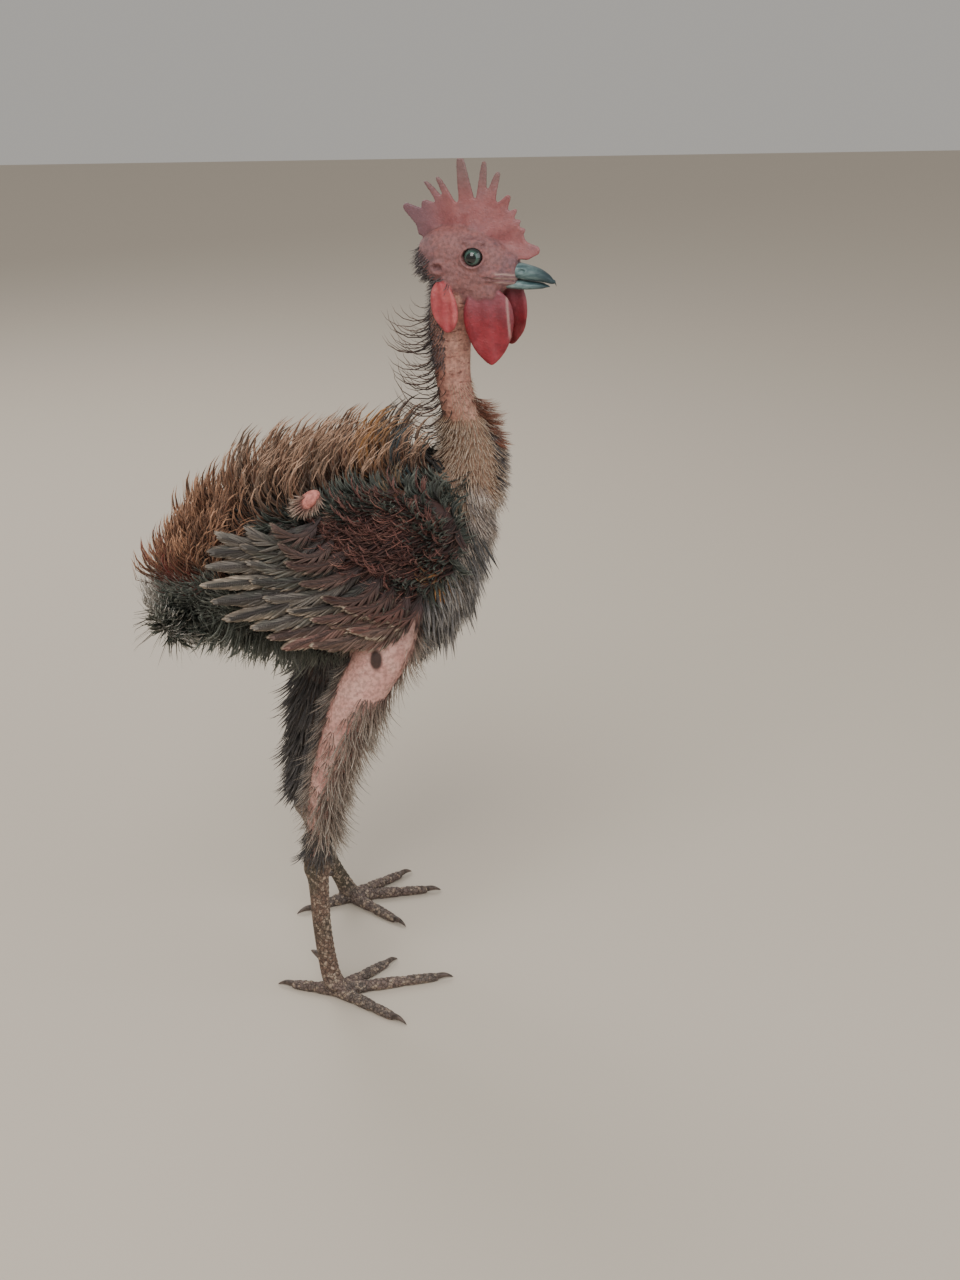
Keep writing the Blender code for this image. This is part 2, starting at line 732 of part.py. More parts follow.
def make_arm(name, side):
    centre = Vector((WING_AT[0], WING_AT[1] * side, WING_AT[2]))
    along = Vector((math.cos(WING_TILT), 0, math.sin(WING_TILT)))
    upward = Vector((-math.sin(WING_TILT), 0, math.cos(WING_TILT)))
    arm = make_egg(name, centre, (along, ASIDE, upward), WING_HALF, 16, 8, WING_POWER)
    elbow_at = Vector((ELBOW_AT[0], ELBOW_AT[1] * side, ELBOW_AT[2]))
    elbow = make_egg("elbow", elbow_at, (along, ASIDE, upward), (ELBOW_RADIUS,) * 3, 10, 6)
    combine(arm, "UNION", [elbow])
    return arm


# Flight feathers from elbow to wrist, lapped like shingles, then their coverts over them.
def dress_wing(plumes, side):
    tiers = ((FLIGHT_COUNT, 1, 0), (COVERT_COUNT, COVERT_REACH, COVERT_LIFT))
    for tier, (count, reach, lift) in enumerate(tiers):
        for share in spread(0, 1, count):
            for _ in range(TRIES):
                if lay_flight(plumes, side, share, reach, lift, tier):
                    break
    for height, first, last, count in SMALL_COVERTS:
        for place in spread(first, last, count):
            for _ in range(TRIES):
                if lay_covert(plumes, side, place, height):
                    break


def lay_flight(plumes, side, share, reach, lift, tier):
    root = Vector(between(FLIGHT_ROOTS, share))
    tip = Vector(between(FLIGHT_TIPS, share))
    root.y += lift + tier
    tip = root.lerp(tip, reach * chance.uniform(0.93, 1.04))
    tip.y = max(tip.y, root.y - 2 + lift)
    root.y *= side
    tip.y *= side
    outward = Vector((0, side, 0))
    run = tip - root
    downward = run.cross(outward).normalized() * side
    sag = chance.uniform(0.5, 4)
    spine = []
    for step in (0, 0.36, 0.7, 1):
        bow = math.sin(math.pi * step)
        spine.append(root + run * step + downward * -sag * bow + outward * (1.5 * bow + 3 * step**3))
    turn = SHINGLE_TURN * side + chance.uniform(-0.04, 0.04)
    across = Matrix.Rotation(-turn, 3, run.normalized()) @ downward
    return plumes.lay(spine, across, FLIGHT_HALF_WIDTH, "flight")


def lay_covert(plumes, side, place, height):
    outward = Vector((0, side, 0))
    x = place + chance.uniform(-3, 3)
    z = height + chance.uniform(-3, 3)
    away = ((x - WING_AT[0]) / WING_HALF[0]) ** 2 + ((z - WING_AT[2]) / WING_HALF[2]) ** 2
    skin_at = WING_AT[1] + WING_HALF[1] * math.sqrt(max(0, 1 - min(away, 0.9)))
    root = Vector((x, side * skin_at, z))
    lie = Vector((-0.86, 0, -0.5))
    length = SMALL_COVERT_LENGTH * chance.uniform(0.85, 1.1)
    curl = (12 + chance.uniform(-6, 6), 62 + chance.uniform(-15, 15))
    spine = curled_spine(root, lie, outward, length, curl, "lock")
    across = Matrix.Rotation(chance.uniform(-0.5, 0.5), 3, lie) @ lie.cross(outward)
    return plumes.lay(spine, across, SMALL_COVERT_HALF_WIDTH, "lock")


def make_neck():
    rings = []
    for height in spread(NECK[0][0], NECK[-1][0], NECK_STATIONS):
        place, deep, wide = between(NECK, height)
        rings.append(oval((place, 0, height), ALONG, ASIDE, deep, wide, NECK_SIDES))
    return loft("neck", rings)


# Loose curled hackles behind the neck, then small tufts before it.
def dress_neck(plumes):
    low, high = HACKLES["heights"]
    for k, height in enumerate(spread(low, high, HACKLES["count"])):
        for _ in range(TRIES):
            if lay_on_neck(plumes, HACKLES, height, 180 + HACKLES["fan"] * (k % 3 - 1)):
                break
    for height, count in TUFTS["rows"]:
        for angle in spread(-TUFTS["fan"], TUFTS["fan"], count):
            for _ in range(TRIES):
                if lay_on_neck(plumes, TUFTS, height, angle):
                    break


def lay_on_neck(plumes, kind, height, angle):
    turn = math.radians(angle + chance.uniform(-10, 10))
    place, deep, wide = between(NECK, height)
    root = Vector((place + deep * math.cos(turn), wide * math.sin(turn), height))
    heading = (ALONG * math.cos(turn) + ASIDE * math.sin(turn) * kind["flat"]).normalized()
    lie = (heading * kind["outward"] - UP).normalized()
    lift = across_of(lie, UP if kind["upward"] else heading)
    length = kind["length"] * chance.uniform(0.75, 1.1)
    curl = (kind["curl"][0], kind["curl"][1] + chance.uniform(-20, 20))
    spine = curled_spine(root, lie, lift, length, curl, kind["profile"], ROOT_SUNK)
    return plumes.lay(spine, lie.cross(lift), kind["half_width"], kind["profile"])


def make_rump():
    run = TAIL_TIP - TAIL_ROOT
    upward = run.normalized().cross(ASIDE)
    rings = []
    for share, size in TAIL_RINGS:
        wide, high = TAIL_HALF[0] * size, TAIL_HALF[1] * size
        rings.append(oval(TAIL_ROOT + run * share, ASIDE, upward, wide, high, 12))
    return loft("tail", rings, None, TAIL_TIP)


# Short curled tail feathers in a fan, and the bare quills among them.
def dress_tail(plumes):
    for x, y, z in QUILLS:
        tip = Vector((x, y, z))
        root = TAIL_ROOT.lerp(TAIL_TIP, QUILL_ROOT) + ASIDE * y * QUILL_ROOT
        spine = [root.lerp(tip, share) for share in spread(0, 1, len(PROFILES["thread"]))]
        plumes.lay(spine, ASIDE, QUILL_HALF_WIDTH, "thread", QUILL_THICK)
    fan = TAIL_FEATHERS["fan"]
    for share, count, size in TAIL_FEATHERS["rows"]:
        for angle in spread(-fan, fan, count):
            for _ in range(TRIES):
                if lay_tail_feather(plumes, share, angle, size):
                    break


def lay_tail_feather(plumes, share, angle, size):
    run = (TAIL_TIP - TAIL_ROOT).normalized()
    turn = math.radians(angle + chance.uniform(-5, 5))
    outward = ASIDE * math.sin(turn) + run.cross(ASIDE) * math.cos(turn)
    root = TAIL_ROOT.lerp(TAIL_TIP, share) + outward * TAIL_HALF[1] * size * 0.9
    lie = (run + outward * 0.3).normalized()
    lift = across_of(lie, outward + UP)
    length = TAIL_FEATHERS["length"] * chance.uniform(0.75, 1.1)
    spine = curled_spine(root, lie, lift, length, TAIL_FEATHERS["curl"], "curl", ROOT_SUNK)
    return plumes.lay(spine, lie.cross(lift), TAIL_FEATHERS["half_width"], "curl")


# A limb through ovals that lie level, from the top down.
def make_limb(name, rows, sides, last=None):
    rings = [oval(at, ALONG, ASIDE, half_x, half_y, sides) for at, half_x, half_y in rows]
    return loft(name, rings, None, last)


# Flat locks down a thigh, which leave its outer side bare.
def dress_thigh(plumes, side):
    start, rows = THIGH_LOCKS["start"], THIGH_LOCKS["rows"]
    step = (len(THIGHS[side]) - 1 - start) / rows
    for row in range(rows):
        for angle in THIGH_LOCKS["turns"]:
            for _ in range(TRIES):
                if lay_on_thigh(plumes, side, start + row * step, angle):
                    break


def lay_on_thigh(plumes, side, share, angle):
    index = int(share)
    mix = share - index
    (low, low_x, low_y), (high, high_x, high_y) = THIGHS[side][index], THIGHS[side][index + 1]
    turn = math.radians(angle + chance.uniform(-12, 12))
    outward = Vector((math.cos(turn), -SIDES[side] * math.sin(turn), 0))
    half = Vector((low_x, low_y, 0)).lerp(Vector((high_x, high_y, 0)), mix)
    root = Vector(low).lerp(Vector(high), mix) + UP * chance.uniform(-5, 5)
    root += Vector((half.x * outward.x, half.y * outward.y, 0))
    lie = ((Vector(high) - Vector(low)).normalized() + outward * THIGH_LOCKS["outward"]).normalized()
    lift = across_of(lie, outward)
    length = THIGH_LOCKS["length"] * chance.uniform(0.8, 1.15)
    curl = (THIGH_LOCKS["curl"][0], THIGH_LOCKS["curl"][1] + chance.uniform(-14, 14))
    spine = curled_spine(root, lie, lift, length, curl, "lock", ROOT_SUNK)
    return plumes.lay(spine, lie.cross(lift), THIGH_LOCKS["half_width"], "lock")


def heading_of(side, degrees):
    turn = math.radians(degrees)
    return Vector((math.cos(turn), -SIDES[side] * math.sin(turn), 0))


# A toe along the floor: the flat undersides of its pads are at z = 0, its waists stand clear.
def make_toe(name, side, toe, degrees, length):
    ankle = Vector((*ANKLES[side], 0))
    heading = heading_of(side, degrees)
    across = UP.cross(heading)
    pads = TOE_PADS[toe]
    places = [(0, 1)]
    for pad in range(pads):
        middle = (pad + 0.5) / pads
        places += [(middle - TOE_FLAT / pads, 1), (middle + TOE_FLAT / pads, 1)]
        if pad < pads - 1:
            places.append(((pad + 1) / pads, TOE_WAIST))
    rings = []
    for share, swell in places:
        radius = TOE_RADIUS * (1 - TOE_TAPER * share)
        centre = ankle + heading * length * share + UP * radius * TOE_SIT
        ring = oval(centre, across, UP, radius * swell, radius * swell, TOE_SIDES, 2, math.pi / TOE_SIDES)
        for point in ring:
            point.z = max(point.z, 0)
        rings.append(ring)
    return loft(name, rings, None, ankle + heading * (length + TOE_END[0]) + UP * TOE_END[1])


def make_claw(name, side, degrees, length):
    ankle = Vector((*ANKLES[side], 0))
    heading = heading_of(side, degrees)
    across = UP.cross(heading)
    rings = []
    for share, height, radius in CLAW_RINGS:
        centre = ankle + heading * (length + CLAW_LENGTH * share) + UP * height
        rings.append(oval(centre, across, UP, radius * CLAW_NARROW, radius, 6))
    return loft(name, rings, None, ankle + heading * (length + CLAW_LENGTH) + UP * CLAW_TIP)


def make_spur(name, side):
    low, high = SHANKS[side][-2][0], SHANKS[side][-3][0]
    share = (SPUR_HEIGHT - low[2]) / (high[2] - low[2])
    at = Vector(low).lerp(Vector(high), share)
    outward = Vector((-0.75, -SIDES[side] * 0.6, 0.1)).normalized()
    across = outward.cross(UP).normalized()
    upward = across.cross(outward)
    rings = []
    for far, radius in SPUR_RINGS:
        rings.append(oval(at + outward * far, across, upward, radius, radius, 6))
    return loft(name, rings, None, at + outward * (6.4 + SPUR_LENGTH))


for item in list(bpy.data.objects):
    bpy.data.objects.remove(item, do_unlink=True)
chance = random.Random(SEED)

skin = make_material("bare skin", (0.42, 0.2, 0.16), 0.55)
comb_red = make_material("comb", (0.5, 0.06, 0.06), 0.5)
plumage = make_material("plumage", (0.16, 0.1, 0.07), 0.7)
wing_grey = make_material("wing feathers", (0.2, 0.18, 0.18), 0.65)
leg_scale = make_material("leg scales", (0.22, 0.16, 0.12), 0.5)
horn = make_material("bill and claws", (0.18, 0.2, 0.2), 0.35)
eye_glass = make_material("eyes", (0.03, 0.03, 0.02), 0.1)

torso = make_trunk()
head = make_skull()
neck = make_neck()
cut_clear(neck, torso, head)
beak_upper = make_mandible("beak_upper", BEAK_UPPER, BEAK_UPPER_TIP)
beak_lower = make_mandible("beak_lower", BEAK_LOWER, BEAK_LOWER_TIP)
cut_clear(beak_upper, head)
cut_clear(beak_lower, head)
cut_nostrils(beak_upper)
comb = make_comb()
cut_clear(comb, head, beak_upper)
eyes, lobes = [], []
for side, sign in SIDES.items():
    eye_centre = head_point(EYE_AT[0], EYE_AT[1] * sign, EYE_AT[2])
    eyes.append(make_egg(f"eye_{side}", eye_centre, (LEFT, FORWARD, UP), (EYE_RADIUS,) * 3, 12, 7))
    wattle = make_lobe(f"wattle_{side}", WATTLE, side)
    cut_clear(wattle, head, beak_lower, neck)
    earlobe = make_lobe(f"earlobe_{side}", LOBE, side)
    cut_clear(earlobe, head, neck)
    lobes += [wattle, earlobe]
shape_face(head)
cut_clear(head, *eyes)
for lobe in lobes:
    cut_clear(lobe, head)

tail = make_rump()
cut_clear(tail, torso)
thighs, shanks, wings = {}, {}, {}
for side, sign in SIDES.items():
    thighs[side] = make_limb(f"thigh_{side}", THIGHS[side], THIGH_SIDES)
    wings[side] = make_arm(f"wing_{side}", sign)
    cut_clear(thighs[side], torso, wings[side])
    cut_clear(wings[side], torso)
    shanks[side] = make_limb(f"shank_{side}", SHANKS[side], SHANK_SIDES, (*ANKLES[side], SHANK_END))
    cut_clear(shanks[side], thighs[side])
    spur = make_spur(f"spur_{side}", side)
    cut_clear(spur, shanks[side])
    finish(spur, horn)
    toes = []
    for toe, (degrees, length) in TOES[side].items():
        made = make_toe(f"toe_{toe}_{side}", side, toe, degrees, length)
        cut_clear(made, shanks[side], *toes)
        toes.append(made)
        claw = make_claw(f"claw_{toe}_{side}", side, degrees, length)
        cut_clear(claw, made)
        finish(made, leg_scale)
        finish(claw, horn)

for side, sign in SIDES.items():
    plumes = Plumes(wings[side], torso, thighs[side], tail, neck)
    dress_wing(plumes, sign)
    plumes.join()
plumes = Plumes(torso, neck, tail, *wings.values(), *thighs.values())
dress_trunk(plumes)
plumes.join()
plumes = Plumes(tail, torso, *wings.values())
dress_tail(plumes)
plumes.join()
plumes = Plumes(neck, torso, head, *lobes, *wings.values())
dress_neck(plumes)
plumes.join()
for side in SIDES:
    plumes = Plumes(thighs[side], torso, wings[side], shanks[side], tail)
    dress_thigh(plumes, side)
    plumes.join()

for owner in (torso, tail):
    finish(owner, plumage)
for owner in (neck, head, *thighs.values()):
    finish(owner, skin)
for owner in wings.values():
    finish(owner, wing_grey)
for owner in shanks.values():
    finish(owner, leg_scale)
for owner in (beak_upper, beak_lower):
    finish(owner, horn)
for owner in (comb, *lobes):
    finish(owner, comb_red)
for owner in eyes:
    finish(owner, eye_glass)
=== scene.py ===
import math
import random
from collections import namedtuple

import bpy
import numpy as np
from mathutils import Euler, Matrix, Vector, noise
from mathutils.bvhtree import BVHTree


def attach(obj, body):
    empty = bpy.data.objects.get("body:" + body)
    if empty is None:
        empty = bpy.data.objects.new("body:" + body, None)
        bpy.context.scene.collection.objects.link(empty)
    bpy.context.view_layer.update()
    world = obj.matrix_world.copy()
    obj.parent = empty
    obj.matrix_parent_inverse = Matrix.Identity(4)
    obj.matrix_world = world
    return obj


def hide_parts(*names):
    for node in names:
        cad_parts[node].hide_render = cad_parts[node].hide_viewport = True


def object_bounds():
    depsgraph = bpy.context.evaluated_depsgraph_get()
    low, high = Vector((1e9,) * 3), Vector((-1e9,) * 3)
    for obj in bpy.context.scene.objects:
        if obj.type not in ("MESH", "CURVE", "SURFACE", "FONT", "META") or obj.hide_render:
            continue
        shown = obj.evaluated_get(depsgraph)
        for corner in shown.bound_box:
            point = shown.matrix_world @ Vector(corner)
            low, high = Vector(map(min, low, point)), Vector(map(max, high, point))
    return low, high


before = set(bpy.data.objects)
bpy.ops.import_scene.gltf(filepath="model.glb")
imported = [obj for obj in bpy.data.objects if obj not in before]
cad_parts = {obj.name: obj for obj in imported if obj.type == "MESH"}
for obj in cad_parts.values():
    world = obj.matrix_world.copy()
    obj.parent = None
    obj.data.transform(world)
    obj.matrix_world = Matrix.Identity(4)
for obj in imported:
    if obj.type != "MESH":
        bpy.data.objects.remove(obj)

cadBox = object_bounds()
mm = 0.001
middle = Vector((-7.9, -3.9, 0))  # moves the working millimetres below onto the frame's origin
along = Vector((1, 0, 0))
aside = Vector((0, 1, 0))
up = Vector((0, 0, 1))
sides = {"right": -1, "left": 1}
chance = random.Random(5)


# Shapes made from tables of sizes, in millimetres

def between(table, place):  # smooth values between the rows of a table
    last = len(table) - 2
    row = next((i for i in range(last) if place < table[i + 1][0]), last)
    before, start, end, after = (table[min(max(i, 0), last + 1)] for i in range(row - 1, row + 3))
    span = end[0] - start[0]
    t = (place - start[0]) / span
    values = []
    for column in range(1, len(start)):
        slopeIn = (end[column] - before[column]) / (end[0] - before[0]) * span
        slopeOut = (after[column] - start[column]) / (after[0] - start[0]) * span
        rise = end[column] - start[column]
        values.append(start[column] + t * (slopeIn + t * (3 * rise - 2 * slopeIn - slopeOut
                                                         + t * (slopeIn + slopeOut - 2 * rise))))
    return values


def straight(table, place):  # values on the straight lines between the rows
    for (start, low), (end, high) in zip(table, table[1:]):
        if place <= end:
            return low + (high - low) * (place - start) / (end - start)
    return table[-1][1]


def spread(first, last, count):
    return [first + (last - first) * k / max(count - 1, 1) for k in range(count)]


def oval(centre, across, upward, halfAcross, halfUp, count, power=2.0):
    ring = []
    for k in range(count):
        turn = 2 * math.pi * k / count
        cos, sin = math.cos(turn), math.sin(turn)
        ring.append(Vector(centre) + across * halfAcross * math.copysign(abs(cos) ** (2 / power), cos)
                    + upward * halfUp * math.copysign(abs(sin) ** (2 / power), sin))
    return ring


def loft(rings, first=None, last=None):  # a closed body, as its points and faces
    count = len(rings[0])
    points = [point for ring in rings for point in ring]
    points += [Vector(first) if first else sum(rings[0], Vector()) / count,
               Vector(last) if last else sum(rings[-1], Vector()) / count]
    start, end, top = len(points) - 2, len(points) - 1, (len(rings) - 1) * count
    faces = []
    for k in range(count):
        after = (k + 1) % count
        for low in range(0, top, count):
            faces.append((low + k, low + after, low + count + after, low + count + k))
        faces += [(start, after, k), (end, top + k, top + after)]
    size = sum(points[a].dot(points[b].cross(points[c])) for a, b, c, *_ in faces)
    size += sum(points[a].dot(points[c].cross(points[d])) for a, _, c, d in (f for f in faces if len(f) == 4))
    return points, faces if size > 0 else [face[::-1] for face in faces]


def egg(centre, axes, halves, count=32, stations=20, power=2.0):
    rings = []
    for k in range(1, stations):
        turn = math.pi * k / stations
        place = Vector(centre) - axes[0] * halves[0] * math.cos(turn)
        rings.append(oval(place, axes[1], axes[2], halves[1] * math.sin(turn), halves[2] * math.sin(turn),
                          count, power))
    return loft(rings, Vector(centre) - axes[0] * halves[0], Vector(centre) + axes[0] * halves[0])


def limb(rows, count, last=None):  # a limb through level ovals
    table = [(i, *at, halfX, halfY) for i, (at, halfX, halfY) in enumerate(rows)]
    rings = []
    for place in spread(0, len(rows) - 1, 50):
        x, y, z, halfX, halfY = between(table, place)
        rings.append(oval((x, y, z), along, aside, halfX, halfY, count))
    return loft(rings, None, last)


def linked(piece):
    bpy.context.scene.collection.objects.link(piece)
    return piece


def newPiece(name, shape):  # an object whose place is in its mesh
    points, faces = shape
    mesh = bpy.data.meshes.new(name)
    mesh.from_pydata([(Vector(point) + middle) * mm for point in points], [], faces)
    mesh.update()
    mesh.shade_smooth()
    return linked(bpy.data.objects.new(name, mesh))


def joined(shapes):
    points, faces = [], []
    for somePoints, someFaces in shapes:
        faces += [tuple(index + len(points) for index in face) for face in someFaces]
        points += somePoints
    return points, faces


def evaluated(piece):  # the mesh that the piece's modifiers make
    graph = bpy.context.evaluated_depsgraph_get()
    return bpy.data.meshes.new_from_object(piece.evaluated_get(graph))


def placesOf(mesh):
    places = np.empty(len(mesh.vertices) * 3, np.float32)
    mesh.vertices.foreach_get("co", places)
    return places.reshape(-1, 3) / mm - np.array(middle)


def setPlaces(mesh, places):
    mesh.vertices.foreach_set("co", ((places + np.array(middle)) * mm).astype(np.float32).ravel())
    mesh.update()


def setValues(mesh, name, values):  # one number for each point, under a name that looks can read
    values = np.asarray(values, np.float32)
    mesh.attributes.new(name, "FLOAT", "POINT").data.foreach_set("value", values)


def edgesOf(mesh):
    ends = np.empty(len(mesh.edges) * 2, np.int64)
    mesh.edges.foreach_get("vertices", ends)
    return ends.reshape(-1, 2)


def nearby(values, ends):  # the mean of the neighbours of each point
    count = len(values)
    degree = np.maximum(np.bincount(ends.ravel(), minlength=count), 1)
    total = np.bincount(ends[:, 0], values[ends[:, 1]], count)
    return (total + np.bincount(ends[:, 1], values[ends[:, 0]], count)) / degree


def relax(places, ends, share, rounds):  # evens out the surface; share is each point's own
    for k in range(rounds):
        mean = np.stack([nearby(column, ends) for column in places.T], 1)
        push = 1.0 if k % 2 == 0 else -0.9  # every other round gives back the size lost
        places = places + (mean - places) * share[:, None] * push
    return places


def smoothStep(low, high, value):
    t = np.clip((value - low) / (high - low), 0, 1)
    return t * t * (3 - 2 * t)


# Body: the sizes are those of the solids

trunk = {
    "rows": ((-102, 300, 13, 13), (-90, 305, 25, 25), (-65, 312, 39, 41), (-30, 313, 48, 55),
             (10, 311, 52, 64), (50, 314, 50, 66), (78, 324, 42, 58), (95, 338, 30, 42), (108, 348, 15, 23)),
    "ends": (-108, 113),
    "keel": 0.22,
    "power": 2.15,
}
neck = {
    "rows": ((346, 86, 25, 24), (360, 91, 25.5, 26), (384, 97, 20.5, 19.5), (397, 96.5, 17, 16.5),
             (410, 92, 14, 13.8), (426, 87, 11.8, 11.8), (441, 85, 11.8, 11.6), (461, 84, 13.2, 12.3),
             (480, 84.5, 14.5, 13), (502, 88, 15, 13.5)),
}
wing = {
    "at": (35, 51, 339),
    "half": (50, 9.5, 38),
    "tilt": math.radians(8),
    "elbow": (-13, 53, 372),
    "elbowHalf": (8.6, 5.2, 5.2),
    "elbowTilt": 0.7,
}
rump = {"root": Vector((-88, 0, 298)), "tip": Vector((-112, 0, 276)), "half": (17, 12)}
thighs = {
    "right": (((37, -38, 292), 25, 17), ((31, -46, 258), 21, 16), ((15, -50, 229), 18.5, 15),
              ((2, -53, 197), 15, 13), ((-9, -55, 163), 11.5, 11), ((-14, -56, 135), 9.2, 9.5),
              ((-16, -56, 114), 8.6, 8.6)),
    "left": (((24, 38, 290), 25, 17), ((12, 45, 255), 22, 16), ((-3, 49, 225), 19, 15),
             ((-13, 52, 192), 16, 13), ((-20, 55, 155), 12, 11), ((-23, 57, 125), 9.2, 9.5),
             ((-23, 59, 102), 8.6, 8.6)),
}
shanks = {
    "right": (((-16, -56, 124), 8.2, 7.6), ((-17, -56, 104), 9.4, 8.4), ((-16.5, -56.5, 92), 7.2, 6.6),
              ((-15, -57, 55), 6.4, 5.8), ((-11, -58, 22), 6.8, 6.2), ((-7, -59, 9), 8.2, 8)),
    "left": (((-23, 59, 112), 8.2, 7.6), ((-22.5, 60, 92), 9.4, 8.4), ((-19, 61, 80), 7.2, 6.6),
             ((-8, 65, 45), 6.4, 5.8), ((3, 69, 20), 6.8, 6.2), ((8, 71, 9), 8.2, 8)),
}
ankles = {"right": (-6, -59), "left": (9, 71)}
toes = {
    "right": {"middle": (9, 74), "outer": (-43, 52), "inner": (42, 50), "back": (158, 34)},
    "left": {"middle": (-6, 60), "outer": (-38, 52), "inner": (48, 48), "back": (158, 34)},
}
toe = {"pads": {"middle": 3, "outer": 3, "inner": 2, "back": 2}, "radius": 5.2, "taper": 0.38, "waist": 0.16,
       "sit": 0.88, "claw": 12}
scute = {"high": 4.6, "long": 4.0, "proud": 0.7}  # the lapping plates on shanks and toes


def trunkPoint(place, turn):
    height, halfWidth, halfHeight = between(trunk["rows"], place)
    cos, sin = math.cos(turn), math.sin(turn)
    rise = math.copysign(abs(cos) ** (2 / trunk["power"]), cos)
    reach = -math.copysign(abs(sin) ** (2 / trunk["power"]), sin)
    keel = 1 - trunk["keel"] * max(0, -rise) ** 2
    return Vector((place, halfWidth * reach * keel, height + halfHeight * rise))


def makeTrunk():
    rings = [[trunkPoint(place, 2 * math.pi * k / 72) for k in range(72)]
             for place in spread(trunk["rows"][0][0], trunk["rows"][-1][0], 60)]
    first, last = trunk["ends"]
    return loft(rings, (first, 0, trunk["rows"][0][1]), (last, 0, trunk["rows"][-1][1]))


def neckPoint(height, turn):
    place, deep, wide = between(neck["rows"], height)
    return Vector((place + deep * math.cos(turn), wide * math.sin(turn), height))


def makeNeck():
    rings = [[neckPoint(height, 2 * math.pi * k / 48) for k in range(48)]
             for height in spread(neck["rows"][0][0], neck["rows"][-1][0], 50)]
    return loft(rings)


def sideEgg(at, sign, tilt, halves, *fineness):  # an egg beside the trunk, tilted about the side's own axis
    lengthways = Vector((math.cos(tilt), 0, math.sin(tilt)))
    return egg((at[0], at[1] * sign, at[2]), (lengthways, aside, lengthways.cross(aside)), halves, *fineness)


def makeRump():
    run = rump["tip"] - rump["root"]
    upwards = run.normalized().cross(aside)
    rings = []
    for share, size in ((-0.5, 0.6), (0, 0.85), (0.4, 1), (0.8, 0.7), (0.93, 0.4)):
        rings.append(oval(rump["root"] + run * share, aside, upwards, rump["half"][0] * size,
                          rump["half"][1] * size, 32))
    return loft(rings, None, rump["tip"])


def heading(side, degrees):
    turn = math.radians(degrees)
    return Vector((math.cos(turn), -sides[side] * math.sin(turn), 0))


def toeRadius(name, share):  # pads swell, the creases between them are narrow
    pads = toe["pads"][name]
    crease = max(0, math.cos(2 * math.pi * share * pads)) ** 3 if share > 0.08 else 0
    return toe["radius"] * (1 - toe["taper"] * share) * (1 - toe["waist"] * crease)


def makeToe(side, name):
    degrees, length = toes[side][name]
    ankle, forward = Vector((*ankles[side], 0)), heading(side, degrees)
    across = up.cross(forward)
    rings = []
    for share in spread(0, 1, 34):
        plump = toe["radius"] * (1 - toe["taper"] * share)
        radius = toeRadius(name, share)
        centre = ankle + forward * length * share + up * plump * toe["sit"]
        ring = oval(centre, across, up, radius, radius, 24)
        for point in ring:
            point.z = max(point.z, 0)
        rings.append(ring)
    return loft(rings, None, ankle + forward * (length + 1.5) + up * 2.5)


# Head

head = {
    "at": Vector((92.6, 0, 518)),
    "turn": math.radians(22),
    "skull": ((-28, -3, 10, 11), (-19, -3, 15, 18), (-7, -6, 17, 24), (7, -8, 16.8, 25.5),
              (19, -8.5, 14.2, 20.5), (29, -8, 11, 13), (36, -9.5, 8.6, 10)),
    "ends": (-31.5, 38),
    "power": 2.1,
    "eye": (10, 12.4, 0.8),
    "eyeRadius": 6.4,
    "lid": (7.1, 6.2),
    "lidThick": 1.35,
    "opening": (5.9, 5.1),
    "ear": (-13, -7),
    "lumps": (((8, 11.8, 9.6), (9.5, 3, 2.4)), ((17, 10.8, -11), (11, 4.2, 5.6)),
              ((10, 9.8, -21), (14, 4.4, 11)), ((-4, 13.2, -15), (9, 4.2, 7.5)),
              ((26, 7.4, -4.5), (9, 3.2, 3.6))),
}
forward = Vector((math.cos(head["turn"]), -math.sin(head["turn"]), 0))
leftward = Vector((math.sin(head["turn"]), math.cos(head["turn"]), 0))
headAxes = (forward, leftward, up)
comb = {
    "centre": (8, 0),
    "blade": ((0, 34), (45, 34), (64, 37), (90, 33.5), (112, 35), (132, 42), (150, 47), (165, 40)),
    "points": ((6, 42.5, 11, 0), (28, 36.8, 5, 0), (38, 37, 5, 0), (48, 39.5, 5.5, 0), (60, 44.5, 6.5, -1),
               (74.5, 55, 6.5, -1), (84, 60, 6, 0), (99.4, 62.6, 9, 0), (117.5, 54.5, 5.5, 2),
               (126, 56.5, 4.6, 3), (138, 48, 7, 0), (150, 57, 8, -3)),
    "finger": ((0, 1), (0.12, 0.985), (0.28, 0.92), (0.42, 0.68), (0.6, 0.36), (0.8, 0.13), (1, 0)),
    "first": -3,
    "last": 165,
    "root": 10,
    "wave": 1.6,
}
wattle = {"right": (20.5, 12, -43.5), "left": (26.8, 8, -35.5), "half": (16.4, 24.5), "thick": 5.6,
          "lean": 0.1, "drape": 0.12, "splay": 0.28, "widest": 1.25, "fold": (0.7, 11), "dish": 0.15}
lobe = {"right": (-7.5, 19.2, -31), "left": (-7.5, 17.5, -31), "half": (8.8, 16), "thick": 6.2, "lean": 0.2,
        "drape": 0.15, "splay": 0, "widest": 1, "fold": (0.7, 7), "dish": 0.5}


def headPoint(ahead, out, height):
    return head["at"] + forward * ahead + leftward * out + up * height


def inHead(places):  # places as ahead, out and height from the middle of the head
    away = np.asarray(places) - np.array(head["at"])
    return away @ np.array(forward), away @ np.array(leftward), away[..., 2]


def faceReach(ahead, height):
    centre, halfWidth, halfHeight = between(head["skull"], ahead)
    rise = min(abs(height - centre) / halfHeight, 1)
    return halfWidth * (1 - rise ** head["power"]) ** (1 / head["power"])


